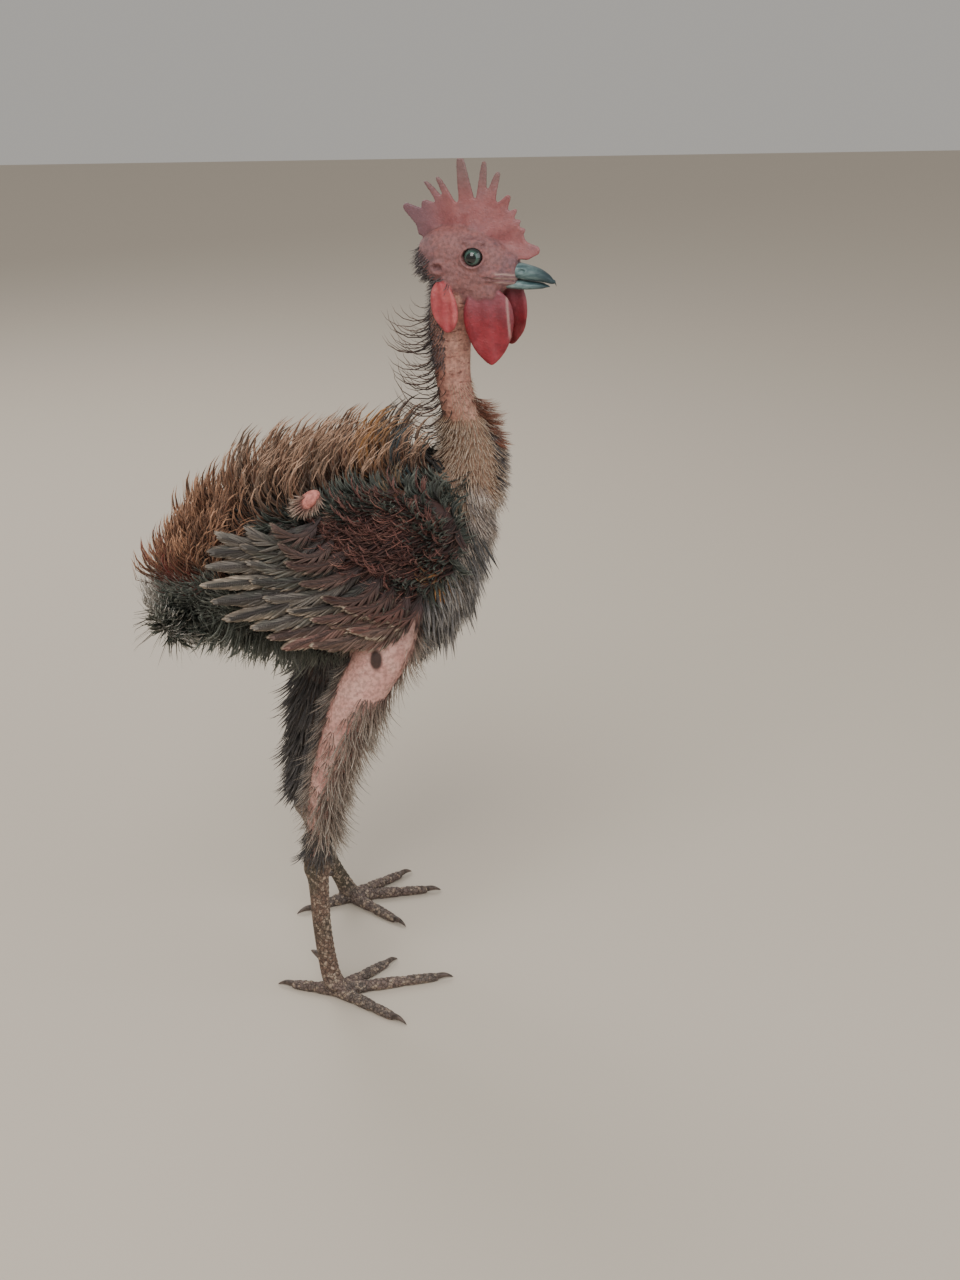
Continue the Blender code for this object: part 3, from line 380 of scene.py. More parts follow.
def makeSkull():
    rings = []
    for ahead in spread(head["skull"][0][0], head["skull"][-1][0], 44):
        height, halfWidth, halfHeight = between(head["skull"], ahead)
        centre = headPoint(ahead, 0, height)
        rings.append(oval(centre, leftward, up, halfWidth, halfHeight, 56, head["power"]))
    first = headPoint(head["ends"][0], 0, head["skull"][0][1])
    return loft(rings, first, headPoint(head["ends"][1], 0, head["skull"][-1][1]))


def makeRing(outline, radius):  # a round bar bent into a loop, for a lid or a rim
    count = 14
    centre = sum(outline, Vector()) / len(outline)
    rings = []
    for k, point in enumerate(outline):
        run = (outline[(k + 1) % len(outline)] - outline[k - 1]).normalized()
        outward = point - centre
        outward = (outward - run * run.dot(outward)).normalized()
        rings.append(oval(point, outward, run.cross(outward), radius, radius, count))
    points = [point for ring in rings for point in ring]
    faces = []
    for row in range(len(rings)):
        low, high = row * count, (row + 1) % len(rings) * count
        for k in range(count):
            after = (k + 1) % count
            faces.append((low + k, high + k, high + after, low + after))
    return points, faces


def faceLoop(centre, halves, sign, proud=0.0):
    count = 48
    points = []
    for k in range(count):
        turn = 2 * math.pi * k / count
        ahead = centre[0] + halves[0] * math.cos(turn)
        height = centre[1] + halves[1] * math.sin(turn) * (1 - 0.18 * math.cos(turn) ** 2)
        points.append(headPoint(ahead, sign * (faceReach(ahead, height) + proud), height))
    return points


def makeFace():  # brow, cheeks, ears and lids, laid over the skull
    shapes = [makeSkull(), egg(headPoint(8, 0, -25), headAxes, (18, 11.5, 8))]
    for sign in (-1, 1):
        eyeAt = (head["eye"][0], head["eye"][2])
        for (ahead, out, height), halves in head["lumps"]:
            shapes.append(egg(headPoint(ahead, out * sign, height), headAxes, halves))
        shapes.append(makeRing(faceLoop(eyeAt, head["lid"], sign, proud=0.5), head["lidThick"]))
        shapes.append(makeRing(faceLoop(head["ear"], (4.8, 3.8), sign), 1.2))
    return shapes


def combReach(turn):
    blade = reach = straight(comb["blade"], turn)
    for at, tip, half, _ in comb["points"]:
        share = min(abs(turn - at) / half, 1)
        reach = max(reach, blade + (tip - blade) * straight(comb["finger"], share))
    return reach


def makeComb():
    rings = []
    for turn in spread(comb["first"], comb["last"], 420):
        reach = combReach(turn)
        blade = straight(comb["blade"], turn)
        lean = sum(bend * max(0, 1 - abs(turn - at) / half) for at, _, half, bend in comb["points"])
        steps = []
        for share in spread(0, 1, 9):
            far = comb["root"] + (reach - comb["root"]) * share
            beyond = max(0, (far - blade) / 25)
            angle = math.radians(turn + lean * beyond ** 1.5)
            inner = min(1, (far - comb["root"]) / (blade - comb["root"]))
            thick = 9 * max(0, 1 - 0.8 * inner - 0.2 * share) ** 1.5 + 2.5 - 1.0 * beyond
            sway = comb["wave"] * math.sin(3 * angle) + 0.5 * math.sin(9 * angle + far / 6)
            steps.append((headPoint(comb["centre"][0], sway, comb["centre"][1])
                          + (forward * math.cos(angle) + up * math.sin(angle)) * far, max(thick, 1.5) / 2))
        rings.append([at - leftward * half for at, half in steps]
                     + [at + leftward * half for at, half in reversed(steps)])
    return loft(rings)


def makeLobe(kind, side):
    sign = sides[side]
    ahead, out, height = kind[side]
    centre = headPoint(ahead, out * sign, height)
    upwards = (up - forward * kind["lean"] - leftward * sign * kind["drape"]) * kind["half"][1]
    lengthways = (forward - leftward * sign * kind["splay"]).normalized()
    across = up.cross(lengthways)
    deepFold, longFold = kind["fold"]
    rings = []
    for share in spread(0.012, 0.988, 40):
        width = kind["half"][0] * math.sin(math.pi * share ** kind["widest"])
        deep = kind["thick"] / 2 * (0.4 + 0.6 * math.sin(math.pi * share))
        ring = oval(centre - upwards * math.cos(math.pi * share), lengthways, across, width, deep, 40, 2.3)
        for point in ring:
            at = (point - centre).dot(lengthways)
            inward = (centre - point).dot(across) * kind["dish"]  # thinner inside a thick rim
            point += across * inward * max(0, 1 - (at / max(width, 1)) ** 2) ** 2 * math.sin(math.pi * share)
            point += across * sign * deepFold * math.sin(2 * math.pi * at / longFold + 4 * share)
        rings.append(ring)
    return loft(rings, centre - upwards, centre + upwards)


# Skin: every fleshy form in one closed surface

skinLook = {
    "voxel": 0.0008,
    "triangles": 195000,
    "softRounds": 26,
    "fineRounds": 6,
    "blendRounds": 5,
    "thin": {"head": 0.02, "neck": 0.12, "shanks": 0.08, "thighs": 0.4, "trunk": 1.0, "elbow": 0.04},
}
forms = {
    "trunk": [makeTrunk()],
    "neck": [makeNeck()],
    "face": makeFace(),
    "comb": [makeComb()],
    "wattle": [makeLobe(wattle, side) for side in sides],
    "lobe": [makeLobe(lobe, side) for side in sides],
    "wing": [sideEgg(wing["at"], sign, wing["tilt"], wing["half"], 48, 30, 2.3) for sign in (-1, 1)],
    "elbow": [sideEgg(wing["elbow"], sign, wing["elbowTilt"], wing["elbowHalf"]) for sign in (-1, 1)],
    "rump": [makeRump()],
    "thigh": [limb(thighs[side], 44) for side in sides],
    "leg": [limb(shanks[side], 36, (*ankles[side], 4.5)) for side in sides]
    + [makeToe(side, name) for side in sides for name in toes[side]],
}
print("forms made")


def carveHead(places):  # sockets behind the eyes, ear pits, mouth corners and creases of the face
    ahead, out, height = inHead(places)
    onHead = (height > -24) & (height < 24) & (ahead > -34) & (ahead < 40)
    sign = np.where(out < 0, -1.0, 1.0)
    wide = np.abs(out)
    eyeAhead, eyeOut, eyeHeight = head["eye"]
    apart = np.hypot((ahead - eyeAhead) / head["opening"][0], (height - eyeHeight) / head["opening"][1])
    inside = onHead & (wide > 7) & (apart < 1.25)
    depth = eyeOut - 1.5  # how far out the floor of a socket lies
    wide = np.where(inside, wide + (np.minimum(wide, depth) - wide) * smoothStep(1.16, 1.0, apart), wide)
    earApart = np.hypot((ahead - head["ear"][0]) / 3.4, (height - head["ear"][1]) / 2.6)
    wide = np.where(onHead & (wide > 8), wide - 2.2 * smoothStep(1.1, 0.3, earApart), wide)
    mouth = np.abs(height - (-13.2 - 0.09 * (ahead - 26)))
    nearMouth = smoothStep(13, 20, ahead) * smoothStep(1.3, 0, mouth)
    wide = np.where(onHead & (wide > 4), wide - 1.3 * nearMouth, wide)
    bumps = np.zeros(len(places))  # coarse, lumpy skin, but not on the eyes
    for i in np.nonzero(onHead & (wide > 5))[0]:
        at = Vector(places[i])
        bumps[i] = noise.noise(at * 0.16) * 0.55 + noise.noise(at * 0.42) * 0.3
    wide = wide + bumps * smoothStep(1.2, 1.9, apart)
    far = np.hypot((ahead - eyeAhead) * 0.92, height - eyeHeight)
    for reach, deep in ((9.6, 0.5), (11.8, 0.35)):  # rings of creased skin round the eye
        wide = np.where(onHead & (wide > 8), wide - deep * smoothStep(0.7, 0, np.abs(far - reach)), wide)
    return places + (sign * (wide - np.abs(out)))[:, None] * np.array(leftward)


def carveLegs(places):  # lapping scutes down the front of each shank and along each toe
    places = places.copy()
    x, y, z = places.T
    for side in sides:
        rows = [(at[2], at[0], at[1]) for at, *_ in reversed(shanks[side])]
        heights, middleX, middleY = (np.array(column) for column in zip(*rows))
        away = np.stack([x - np.interp(z, heights, middleX), y - np.interp(z, heights, middleY)], 1)
        far = np.maximum(np.hypot(*away.T), 0.1)
        front = smoothStep(-0.1, 0.5, away[:, 0] / far) * (far < 12)
        front = front * smoothStep(12, 18, z) * smoothStep(112, 100, z)
        plate = 0.5 - (z / scute["high"]) % 1
        places[:, :2] += away / far[:, None] * (plate * scute["proud"] * front)[:, None]
        for degrees, length in toes[side].values():
            way = heading(side, degrees)
            ahead = (x - ankles[side][0]) * way.x + (y - ankles[side][1]) * way.y
            off = np.abs((x - ankles[side][0]) * way.y - (y - ankles[side][1]) * way.x)
            near = (off < 6) * smoothStep(8, 12, ahead) * smoothStep(length, length - 4, ahead)
            near = near * smoothStep(3, 7, z)
            places[:, 2] += (0.5 - (ahead / scute["long"]) % 1) * scute["proud"] * near * (z < 13)
    return places


def makeSkin():
    piece = newPiece("skin", joined([shape for shapes in forms.values() for shape in shapes]))
    remesh = piece.modifiers.new("remesh", "REMESH")
    remesh.mode = "VOXEL"
    remesh.voxel_size = skinLook["voxel"]
    piece.data = evaluated(piece)
    piece.modifiers.clear()
    places = placesOf(piece.data)
    ends = edgesOf(piece.data)
    ahead, _, height = inHead(places)
    fine = (height > -72) & (ahead > -34) & ((places[:, 2] > 470) | (ahead > 18))
    soft = np.select((fine, places[:, 2] < 14), (0.0, 0.25), 0.55)  # the toes keep more of their shape
    places = relax(places, ends, soft, skinLook["softRounds"])
    places = relax(places, ends, np.where(fine, 0.5, 0.3), skinLook["fineRounds"])
    places = carveLegs(carveHead(places))
    places = relax(places, ends, np.where(fine, 0.25, 0), 2)
    places[:, 2] = np.maximum(places[:, 2], 0)
    setPlaces(piece.data, places)
    level, shares = places[:, 2], skinLook["thin"]  # how freely each zone gives up triangles
    zones = {"head": fine, "neck": level > 395, "shanks": level < 112, "thighs": level < 235}
    free = np.select(list(zones.values()), [shares[name] for name in zones], shares["trunk"])
    x, y, z = wing["elbow"]
    free = np.where(np.linalg.norm(np.abs(places) - (-x, y, z), axis=1) < 15, shares["elbow"], free)
    group = piece.vertex_groups.new(name="coarse")
    for weight in np.unique(free):
        group.add(np.nonzero(free == weight)[0].tolist(), float(weight), "REPLACE")
    thin = piece.modifiers.new("thin", "DECIMATE")
    thin.vertex_group = "coarse"
    thin.ratio = min(1.0, skinLook["triangles"] / (2 * len(piece.data.polygons)))
    piece.data = evaluated(piece)
    piece.modifiers.clear()
    piece.vertex_groups.clear()
    piece.data.shade_smooth()
    return piece


skin = makeSkin()
print("skin", len(skin.data.vertices), "points", len(skin.data.polygons), "faces")


def nameRegions(piece):  # how much of each form there is at each point, kept as attributes
    points, faces, owners = [], [], []
    for index, shapes in enumerate(forms.values()):
        somePoints, someFaces = joined(shapes)
        faces += [tuple(i + len(points) for i in face) for face in someFaces]
        points += somePoints
        owners += [index] * len(someFaces)
    nearest = BVHTree.FromPolygons(points, faces)
    places = placesOf(piece.data)
    shares = np.zeros((len(places), len(forms)))
    for i, place in enumerate(places):
        shares[i, owners[nearest.find_nearest(Vector(place))[2]]] = 1
    ends = edgesOf(piece.data)
    for name, share in zip(forms, shares.T):
        for _ in range(skinLook["blendRounds"]):
            share = 0.4 * share + 0.6 * nearby(share, ends)
        setValues(piece.data, name, share)
    ahead, out, height = inHead(places)
    across = np.abs(ahead - 30.5 + (height + 22) * 0.13)  # the pale fold of the right wattle
    pale = smoothStep(1.0, 0.2, across) * smoothStep(-56, -46, height) * smoothStep(-16, -22, height)
    pale = pale * (out < 0) * 0.6
    for level in (-9.6, -12.4, -15.4):  # pale streaks by the mouth
        streak_and_highlight = smoothStep(0.8, 0.2, np.abs(height - level + 0.1 * (ahead - 28)))
        pale = np.maximum(pale, streak_and_highlight * smoothStep(22, 27, ahead) * smoothStep(-30, -10, height) * 0.8)
    setValues(piece.data, "pale", np.where(np.abs(out) > 3, pale, 0))


nameRegions(skin)
skinPoints = [Vector(place) for place in placesOf(skin.data)]
skinTree = BVHTree.FromPolygons(skinPoints, [tuple(face.vertices) for face in skin.data.polygons])
print("regions named")


# Node trees, with sums written as sums

class Wire:  # a socket of a node tree
    def __init__(self, graph, socket):
        self.graph, self.socket = graph, socket

    def __add__(self, other):
        return self.graph.maths("ADD", self, other)

    def __radd__(self, other):
        return self.graph.maths("ADD", other, self)

    def __sub__(self, other):
        return self.graph.maths("SUBTRACT", self, other)

    def __rsub__(self, other):
        return self.graph.maths("SUBTRACT", other, self)

    def __mul__(self, other):
        return self.graph.maths("MULTIPLY", self, other)

    def __rmul__(self, other):
        return self.graph.maths("MULTIPLY", other, self)

    def __truediv__(self, other):
        return self.graph.maths("DIVIDE", self, other)

    def __rtruediv__(self, other):
        return self.graph.maths("DIVIDE", other, self)

    def __pow__(self, other):
        return self.graph.maths("POWER", self, other)

    def step(self, low, high):  # nought below low, one above high
        values = {"Value": self, "From Min": low, "From Max": high}
        return self.graph.add("ShaderNodeMapRange", {"interpolation_type": "SMOOTHSTEP"}, values)


class Graph:
    def __init__(self, tree):
        self.tree = tree

    def add(self, kind, settings=None, values=None, out=0):
        node = self.tree.nodes.new(kind)
        for name, value in (settings or {}).items():
            setattr(node, name, value)
        for name, value in (values or {}).items():
            self.feed(node.inputs[name], value)
        return Wire(self, node.outputs[out])

    def feed(self, socket, value):
        if isinstance(value, Wire):
            self.tree.links.new(value.socket, socket)
        else:
            socket.default_value = value

    def maths(self, operation, *values):
        return self.add("ShaderNodeMath", {"operation": operation}, dict(enumerate(values)))

    def vector(self, operation, *values):
        return self.add("ShaderNodeVectorMath", {"operation": operation}, dict(enumerate(values)))

    def parts(self, vector):  # the three numbers of a vector
        first = self.add("ShaderNodeSeparateXYZ", None, {"Vector": vector})
        return [Wire(self, socket) for socket in first.socket.node.outputs]

    def mix(self, share, first, second):  # each of the two is a wire or a screen colour
        first, second = (tint(*colour) if isinstance(colour, tuple) else colour for colour in (first, second))
        return self.add("ShaderNodeMix", {"data_type": "RGBA"}, {0: share, 6: first, 7: second}, 2)

    def over(self, colour, *layers):  # lays colours over a colour, each by its own share
        for share, above in layers:
            colour = self.mix(share, colour, above)
        return colour

    def noise(self, place, scale, detail=3, roughness=0.55, distortion=0):
        return self.add("ShaderNodeTexNoise", None, {"Vector": place, "Scale": scale, "Detail": detail,
                                                     "Roughness": roughness, "Distortion": distortion})

    def cells(self, place, scale, feature="F1"):
        return self.add("ShaderNodeTexVoronoi", {"feature": feature}, {"Vector": place, "Scale": scale})

    def attribute(self, name, out=2):
        return self.add("ShaderNodeAttribute", {"attribute_name": name}, None, out)

    def place(self, stretch=(1, 1, 1)):
        here = self.add("ShaderNodeTexCoord", None, None, 3)
        return self.add("ShaderNodeMapping", None, {"Vector": here, "Scale": stretch})

    def relief(self, height, strength, distance):
        values = {"Height": height, "Strength": strength, "Distance": distance}
        return self.add("ShaderNodeBump", None, values)


def tint(red, green, blue):  # a screen colour as the shader's own
    return (*(((value / 255 + 0.055) / 1.055) ** 2.4 for value in (red, green, blue)), 1)


def newLook(name, paint):  # paint returns what feeds the shader
    material = bpy.data.materials.new(name)
    material.use_nodes = True
    graph = Graph(material.node_tree)
    shader = material.node_tree.nodes["Principled BSDF"]
    for socket, value in paint(graph).items():
        graph.feed(shader.inputs[socket], value)
    return material


# the pit on the right thigh; its inside is darkened with painted shade
thighPit = {"at": (27.3, -60.3, 261), "squash": 0.55, "reach": (5.2, 3)}
patches = (  # middle x and z, reach, and the mark it leaves on skin and coat: rust, teal or red
    ((49, 379), 6, 0), ((63, 378), 6, 1), ((36, 381), 4, 1), ((-92, 308), 8, 2), ((72, 250), 6, 0),
    ((70, 322), 4, 0),
)
patchTones = ((150, 100, 58), (44, 58, 64), (128, 60, 52))


def pitShadeShare(graph):  # one inside the pit of the right thigh, where the skin gets painted shade
    x, y, z = thighPit["at"]
    centre = ((x + middle.x) * mm, (y + middle.y) * mm, thighPit["squash"] * z * mm)
    here = graph.place((1, 1, thighPit["squash"]))
    away = graph.add("ShaderNodeVectorMath", {"operation": "DISTANCE"}, {0: here, 1: centre}, 1)
    far, near = thighPit["reach"]
    return away.step(far * mm, near * mm)


def paintSkin(graph):
    here = graph.place()
    x, y, height = graph.parts(here)
    region = {name: graph.attribute(name) for name in forms}
    wet = region["wattle"] + region["comb"] + region["lobe"]
    mottle = graph.noise(here, 60, 4)
    fine = graph.noise(here, 420)
    blotch = graph.noise(here, 26, 3, 0.6, 0.4).step(0.4, 0.62)
    scales = graph.cells(graph.place((1, 1, 0.75)), 400, "DISTANCE_TO_EDGE")

    def grains(scale, low, high, detail=3):
        return graph.noise(here, scale, detail).step(low, high)

    def mottled(low, high, first, second, *layers):
        return graph.over(graph.mix(mottle.step(low, high), first, second), *layers)

    colour = graph.over(graph.mix(mottle, (38, 30, 27), (72, 54, 46)),
                        (height.step(0.36, 0.34) * x.step(-0.03, 0.03), (34, 40, 38)),
                        (height.step(0.31, 0.28), (52, 56, 53)),
                        (x.step(0.06, 0.078) * height.step(0.35, 0.33), (96, 92, 92)))
    for (patchX, patchZ), reach, kind in patches:
        ahead, above = x - (patchX + middle.x) * mm, height - patchZ * mm
        away = (ahead * ahead + above * above) ** 0.5
        colour = graph.mix(away.step(1.6 * reach * mm, 0.4 * reach * mm) * 0.8, colour, patchTones[kind])
    tones = {
        "neck": mottled(0.35, 0.65, (168, 116, 102), (204, 154, 138),
                        (graph.noise(graph.place((1, 1, 2.4)), 190).step(0.52, 0.68), (132, 84, 74)),
                        (height.step(0.43, 0.385) * 0.6, (196, 162, 130))),
        "thigh": mottled(0.36, 0.64, (206, 152, 142), (218, 172, 160),
                         (graph.cells(here, 340).step(0.3, 0.1) * 0.45, (186, 122, 112)),
                         (grains(150, 0.7, 0.76, 2), (150, 44, 40)),
                         # painted shade inside the thigh's pit
                         (pitShadeShare(graph), (66, 44, 38)),
                         # painted shade: the far (left) thigh's skin is darker than the near one
                         (y.step(0, 0.02), graph.mix(mottle, (58, 48, 46), (86, 66, 62)))),
        "rump": (150, 84, 78),
        "wing": (64, 38, 36),
        "elbow": graph.mix(fine, (196, 112, 104), (222, 150, 138)),
        "leg": graph.over(graph.mix(blotch, (122, 98, 84), (84, 78, 64)),
                          (height.step(0.022, 0.008) * 0.5, (122, 110, 108)),
                          (grains(300, 0.5, 0.62) * 0.8, (184, 164, 144)),
                          (scales.step(0.12, 0.0) * 0.8, (48, 38, 32))),
        "face": graph.over(graph.mix(blotch, (150, 104, 102), (128, 94, 98)),
                           (grains(260, 0.5, 0.7) * 0.35, (168, 100, 94)),
                           (height.step(0.525, 0.542) * 0.75, (160, 98, 94)),
                           (x.step(0.066, 0.05) * 0.6, (112, 98, 102))),
        "lobe": mottled(0.4, 0.6, (166, 66, 72), (192, 100, 100)),
        "wattle": mottled(0.36, 0.62, (118, 22, 34), (146, 40, 50),
                          (grains(130, 0.52, 0.7) * 0.5, (100, 12, 26)),
                          (grains(70, 0.5, 0.7, 2) * 0.4, (168, 72, 78)),
                          (height.step(0.472, 0.5) * 0.75, (134, 82, 92))),
        "comb": mottled(0.36, 0.64, (146, 86, 88), (162, 104, 104),
                        (x.step(0.078, 0.054) * 0.75, (112, 88, 98)),
                        (height.step(0.549, 0.572) * 0.8, (120, 100, 98)),
                        (grains(60, 0.5, 0.7, 2) * 0.5, (138, 98, 104))),
    }
    for name, tone in tones.items():
        share = region[name] * 0.8 if name in ("rump", "wing") else region[name]
        colour = graph.mix(share, colour, tone)
    colour = graph.over(colour, (fine.step(0.62, 0.36) * (0.35 - wet * 0.2), (44, 26, 26)),
                        (graph.attribute("pale") * 0.7, (206, 176, 166)))
    pimples = graph.cells(here, 620).step(0.5, 0.05)
    wrinkle = graph.noise(graph.place((1, 1, 2.2)), 230, 4, 0.6)
    folds = graph.noise(graph.place((1, 1, 1.6)), 120, 3, 0.5, 0.6)
    relief = wrinkle * 0.5 + fine * 0.3 + pimples * 0.35 + scales.step(0.0, 0.16) * region["leg"] * 1.6
    relief = relief + folds * (region["face"] + region["neck"] + wet) * 1.1
    return {"Base Color": colour, "Roughness": 0.66 - wet * 0.2 + fine * 0.08, "Subsurface Weight": 0.12,
            "Subsurface Radius": (0.004, 0.0016, 0.001), "Subsurface Scale": 0.6,
            "Normal": graph.relief(relief, 0.55, 0.0006)}


skin.data.materials.append(newLook("skin", paintSkin))

# Feathers: tufts of curled strands, laid over the skin

Palette = namedtuple("Palette", "root middle tip turns vary other rim edge")


def featherLook(name, palette):  # from root through middle to tip, with marks over them
    def paint(graph):
        here = graph.place()
        across, length, _ = graph.parts(graph.add("ShaderNodeUVMap", {"uv_map": "vane"}))
        rust, teal, red = graph.parts(graph.attribute("marks", 1))
        tone = graph.attribute("tone")
        share = length + (graph.noise(here, 85) - 0.5) * 0.5 + (tone - 0.5) * 0.35
        edge = graph.maths("ABSOLUTE", across - 0.5) * 2
        grain = graph.noise(here, 900, 2)
        near, far = palette.turns
        colour = graph.over(palette.root,
                            (share.step(near - 0.22, near + 0.22), palette.middle),
                            (share.step(far - 0.22, far + 0.22), palette.tip),
                            (tone.step(0.55, 0.9) * palette.vary, palette.other),
                            (rust, graph.mix(share.step(0.2, 0.8), (120, 74, 38), (196, 140, 84))),
                            (teal, graph.mix(share.step(0.3, 0.9), (28, 36, 38), (60, 80, 88))),
                            (red, patchTones[2]),
                            (edge.step(0.35, 1.0) * palette.rim, palette.edge),
                            (grain.step(0.55, 0.35) * 0.4, (20, 16, 15)))
        return {"Base Color": colour, "Roughness": 0.62 + grain * 0.12, "Sheen Weight": 0.06,
                "Specular IOR Level": 0.35, "Normal": graph.relief(grain, 0.25, 0.0003)}
    return newLook(name, paint)


def setMap(mesh, name, values):  # two numbers for each point, spread to the corners of the faces
    corners = np.array([loop.vertex_index for loop in mesh.loops])
    mesh.uv_layers.new(name=name).uv.foreach_set("vector", np.array(values, np.float32)[corners].ravel())


def strand(form, dice, bend, lean, shift, widths, plump):  # a closed, tapering, curled blade
    length = form["length"] * bend["size"] * dice.uniform(0.84, 1.08)
    first, last = (degrees + bend["curl"] + dice.uniform(-0.3, 0.3) * form["loose"]
                   for degrees in form["curl"])
    sway = bend["sway"] + dice.uniform(-0.3, 0.3) * form["sway"]
    roll = bend["flat"] + dice.uniform(-1, 1) * form["roll"]
    steps = len(widths)
    sunk = form["sunk"]
    place = Vector((shift * math.cos(bend["flat"]), shift * math.sin(bend["flat"]) - sunk, -sunk * 0.4))
    rings = []
    for k, width in enumerate(widths):
        share = k / steps
        turn = math.radians(first + (last - first) * share ** form["late"])
        drift = lean * (1 - share) + sway * share
        run = Vector((math.sin(drift), math.cos(turn) * math.cos(drift), math.sin(turn))).normalized()
        across = Vector((1, 0, 0)) - run * run.x
        across = Matrix.Rotation(roll * (0.4 + share), 3, run) @ across.normalized()
        half = form["half"] * width * plump
        rings.append([place - across * half, place + across.cross(run) * max(half * form["ridge"], 0.1),
                      place + across * half])
        place = place + run * (length + sunk) / steps
    return loft(rings, None, place)


choices = 8  # how many shapes each coat picks its tufts from


def makeTufts(name, form):  # a hidden set of shapes to pick from
    shapes = bpy.data.collections.new(name)
    dice = random.Random(name)
    for index in range(choices):
        blades, shares = [], []
        bend = {"curl": dice.uniform(-1, 1) * form["loose"], "sway": dice.uniform(-1, 1) * form["sway"],
                "flat": dice.choice((-1, 1)) * form["flat"], "size": dice.uniform(0.86, 1.05)}
        for k in range(form["strands"]):
            order = 2 * (k + 0.5) / form["strands"] - 1
            lean = form["fan"] * order + dice.uniform(-0.06, 0.06)
            shift = order * form["gap"] * form["strands"] / 2
            made = [(lean, shift, form["widths"], 1.0)]
            for _ in range(form["fine"]):  # loose barbs beside the blade
                made.append((lean + dice.uniform(-0.28, 0.28), shift + dice.uniform(-0.5, 0.5) * form["gap"],
                             (0.9, 1, 0.85, 0.6), 0.3))
            for blade in made:
                blades.append(strand(form, dice, bend, *blade))
                rows = len(blade[2])
                shares += [(0.5 * (i % 3), i // 3 / rows) for i in range(3 * rows)] + [(0.5, 0), (0.5, 1)]
        points, faces = joined(blades)
        mesh = bpy.data.meshes.new(f"{name}{index}")
        mesh.from_pydata([point * mm for point in points], [], faces)
        mesh.shade_smooth()
        setMap(mesh, "vane", shares)
        shapes.objects.link(bpy.data.objects.new(f"{name}{index}", mesh))
    return shapes


def makeTuftTree():
    tree = bpy.data.node_groups.new("tufts", "GeometryNodeTree")
    sockets = (("Roots", "Geometry"), ("Shapes", "Collection"), ("Choices", "Int"), ("Patch", "Float"),
               ("Seed", "Int"), ("Look", "Material"))
    for name, kind in sockets:
        tree.interface.new_socket(name, in_out="INPUT", socket_type=f"NodeSocket{kind}")
    tree.interface.new_socket("Tufts", in_out="OUTPUT", socket_type="NodeSocketGeometry")
    graph = Graph(tree)
    entry = tree.nodes.new("NodeGroupInput")
    given = {socket.name: Wire(graph, socket) for socket in entry.outputs if socket.name}

    def read(name):
        return graph.add("GeometryNodeInputNamedAttribute", {"data_type": "FLOAT_VECTOR"}, {"Name": name})

    last = graph.maths("SUBTRACT", given["Choices"], 1)
    choice = graph.add("FunctionNodeRandomValue", {"data_type": "INT"}, {4: 0, 5: last, 8: given["Seed"]}, 2)
    shapes = graph.add("GeometryNodeCollectionInfo", None,
                       {"Collection": given["Shapes"], "Separate Children": True, "Reset Children": True})
    turn = graph.add("FunctionNodeEulerToRotation", None, {"Euler": read("turn")})
    laid = graph.add("GeometryNodeInstanceOnPoints", None,
                     {"Points": given["Roots"], "Instance": shapes, "Pick Instance": True,
                      "Instance Index": choice, "Rotation": turn, "Scale": read("size")})
    real = graph.add("GeometryNodeRealizeInstances", None, {"Geometry": laid})
    offset = graph.vector("SUBTRACT", read("vane"), (0.5, 0.5, 0))
    spot = graph.add("ShaderNodeVectorMath", {"operation": "SCALE"}, {0: offset, "Scale": given["Patch"]})
    baked = graph.vector("ADD", read("map"), spot)
    real = graph.add("GeometryNodeStoreNamedAttribute", {"data_type": "FLOAT2", "domain": "CORNER"},
                     {"Geometry": real, "Name": "OFBake", "Value": baked})
    real = graph.add("GeometryNodeSetMaterial", None, {"Geometry": real, "Material": given["Look"]})
    way = tree.nodes.new("NodeGroupOutput")
    graph.feed(way.inputs["Tufts"], real)
    return tree


tuftTree = makeTuftTree()


def marksAt(at, weight):
    marks = [0, 0, 0]
    for (x, z), reach, kind in patches:
        near = 1 - math.hypot(at.x - x, at.z - z) / (1.6 * reach)
        if near > 0 and chance.random() < 1.7 * near:
            marks[kind] = max(marks[kind], min(1.0, 1.5 * near) * weight)
    return marks


def keepInside(mesh):  # nothing reaches past the solids' own box or below the floor
    margin = 0.0003
    low, high = (np.array(corner) for corner in cadBox)
    places = np.empty(len(mesh.vertices) * 3, np.float32)
    mesh.vertices.foreach_get("co", places)
    places = np.clip(places.reshape(-1, 3), low + margin, high - margin)
    mesh.vertices.foreach_set("co", places.ravel())
    mesh.update()


class Coat:  # the roots of one piece's tufts
    def __init__(self):
        self.rows = []

    def lay(self, at, lie, lift, size, mapAt, weight=1.0):
        across = lie.cross(lift)
        turn = Matrix((across, lie, across.cross(lie))).transposed().to_euler()
        tone = chance.random()
        place = (at + middle) * mm
        self.rows.append((*place, *turn, size, size, size, *mapAt, 0, tone, *marksAt(at, weight)))

    def grow(self, name, form, look, seed):
        table = np.array(self.rows, np.float32)
        mesh = bpy.data.meshes.new(name)
        mesh.from_pydata(table[:, :3].tolist(), [], [])
        for field, first, last in (("turn", 3, 6), ("size", 6, 9), ("map", 9, 12), ("marks", 13, 16)):
            values = mesh.attributes.new(field, "FLOAT_VECTOR", "POINT")
            values.data.foreach_set("vector", np.ascontiguousarray(table[:, first:last]).ravel())
        setValues(mesh, "tone", table[:, 12].copy())
        piece = linked(bpy.data.objects.new(name, mesh))
        modifier = piece.modifiers.new("tufts", "NODES")
        modifier.node_group = tuftTree
        values = {"Shapes": makeTufts(f"{name}-shapes", form), "Choices": choices, "Patch": 0.003,
                  "Seed": seed, "Look": look}
        for item in tuftTree.interface.items_tree:
            if item.name in values:
                modifier[item.identifier] = values[item.name]
        piece.data = evaluated(piece)
        piece.modifiers.clear()
        keepInside(piece.data)
        triangles = sum(len(face.vertices) - 2 for face in piece.data.polygons)
        print(name, len(self.rows), "tufts", triangles, "triangles")
        return piece


coats = []


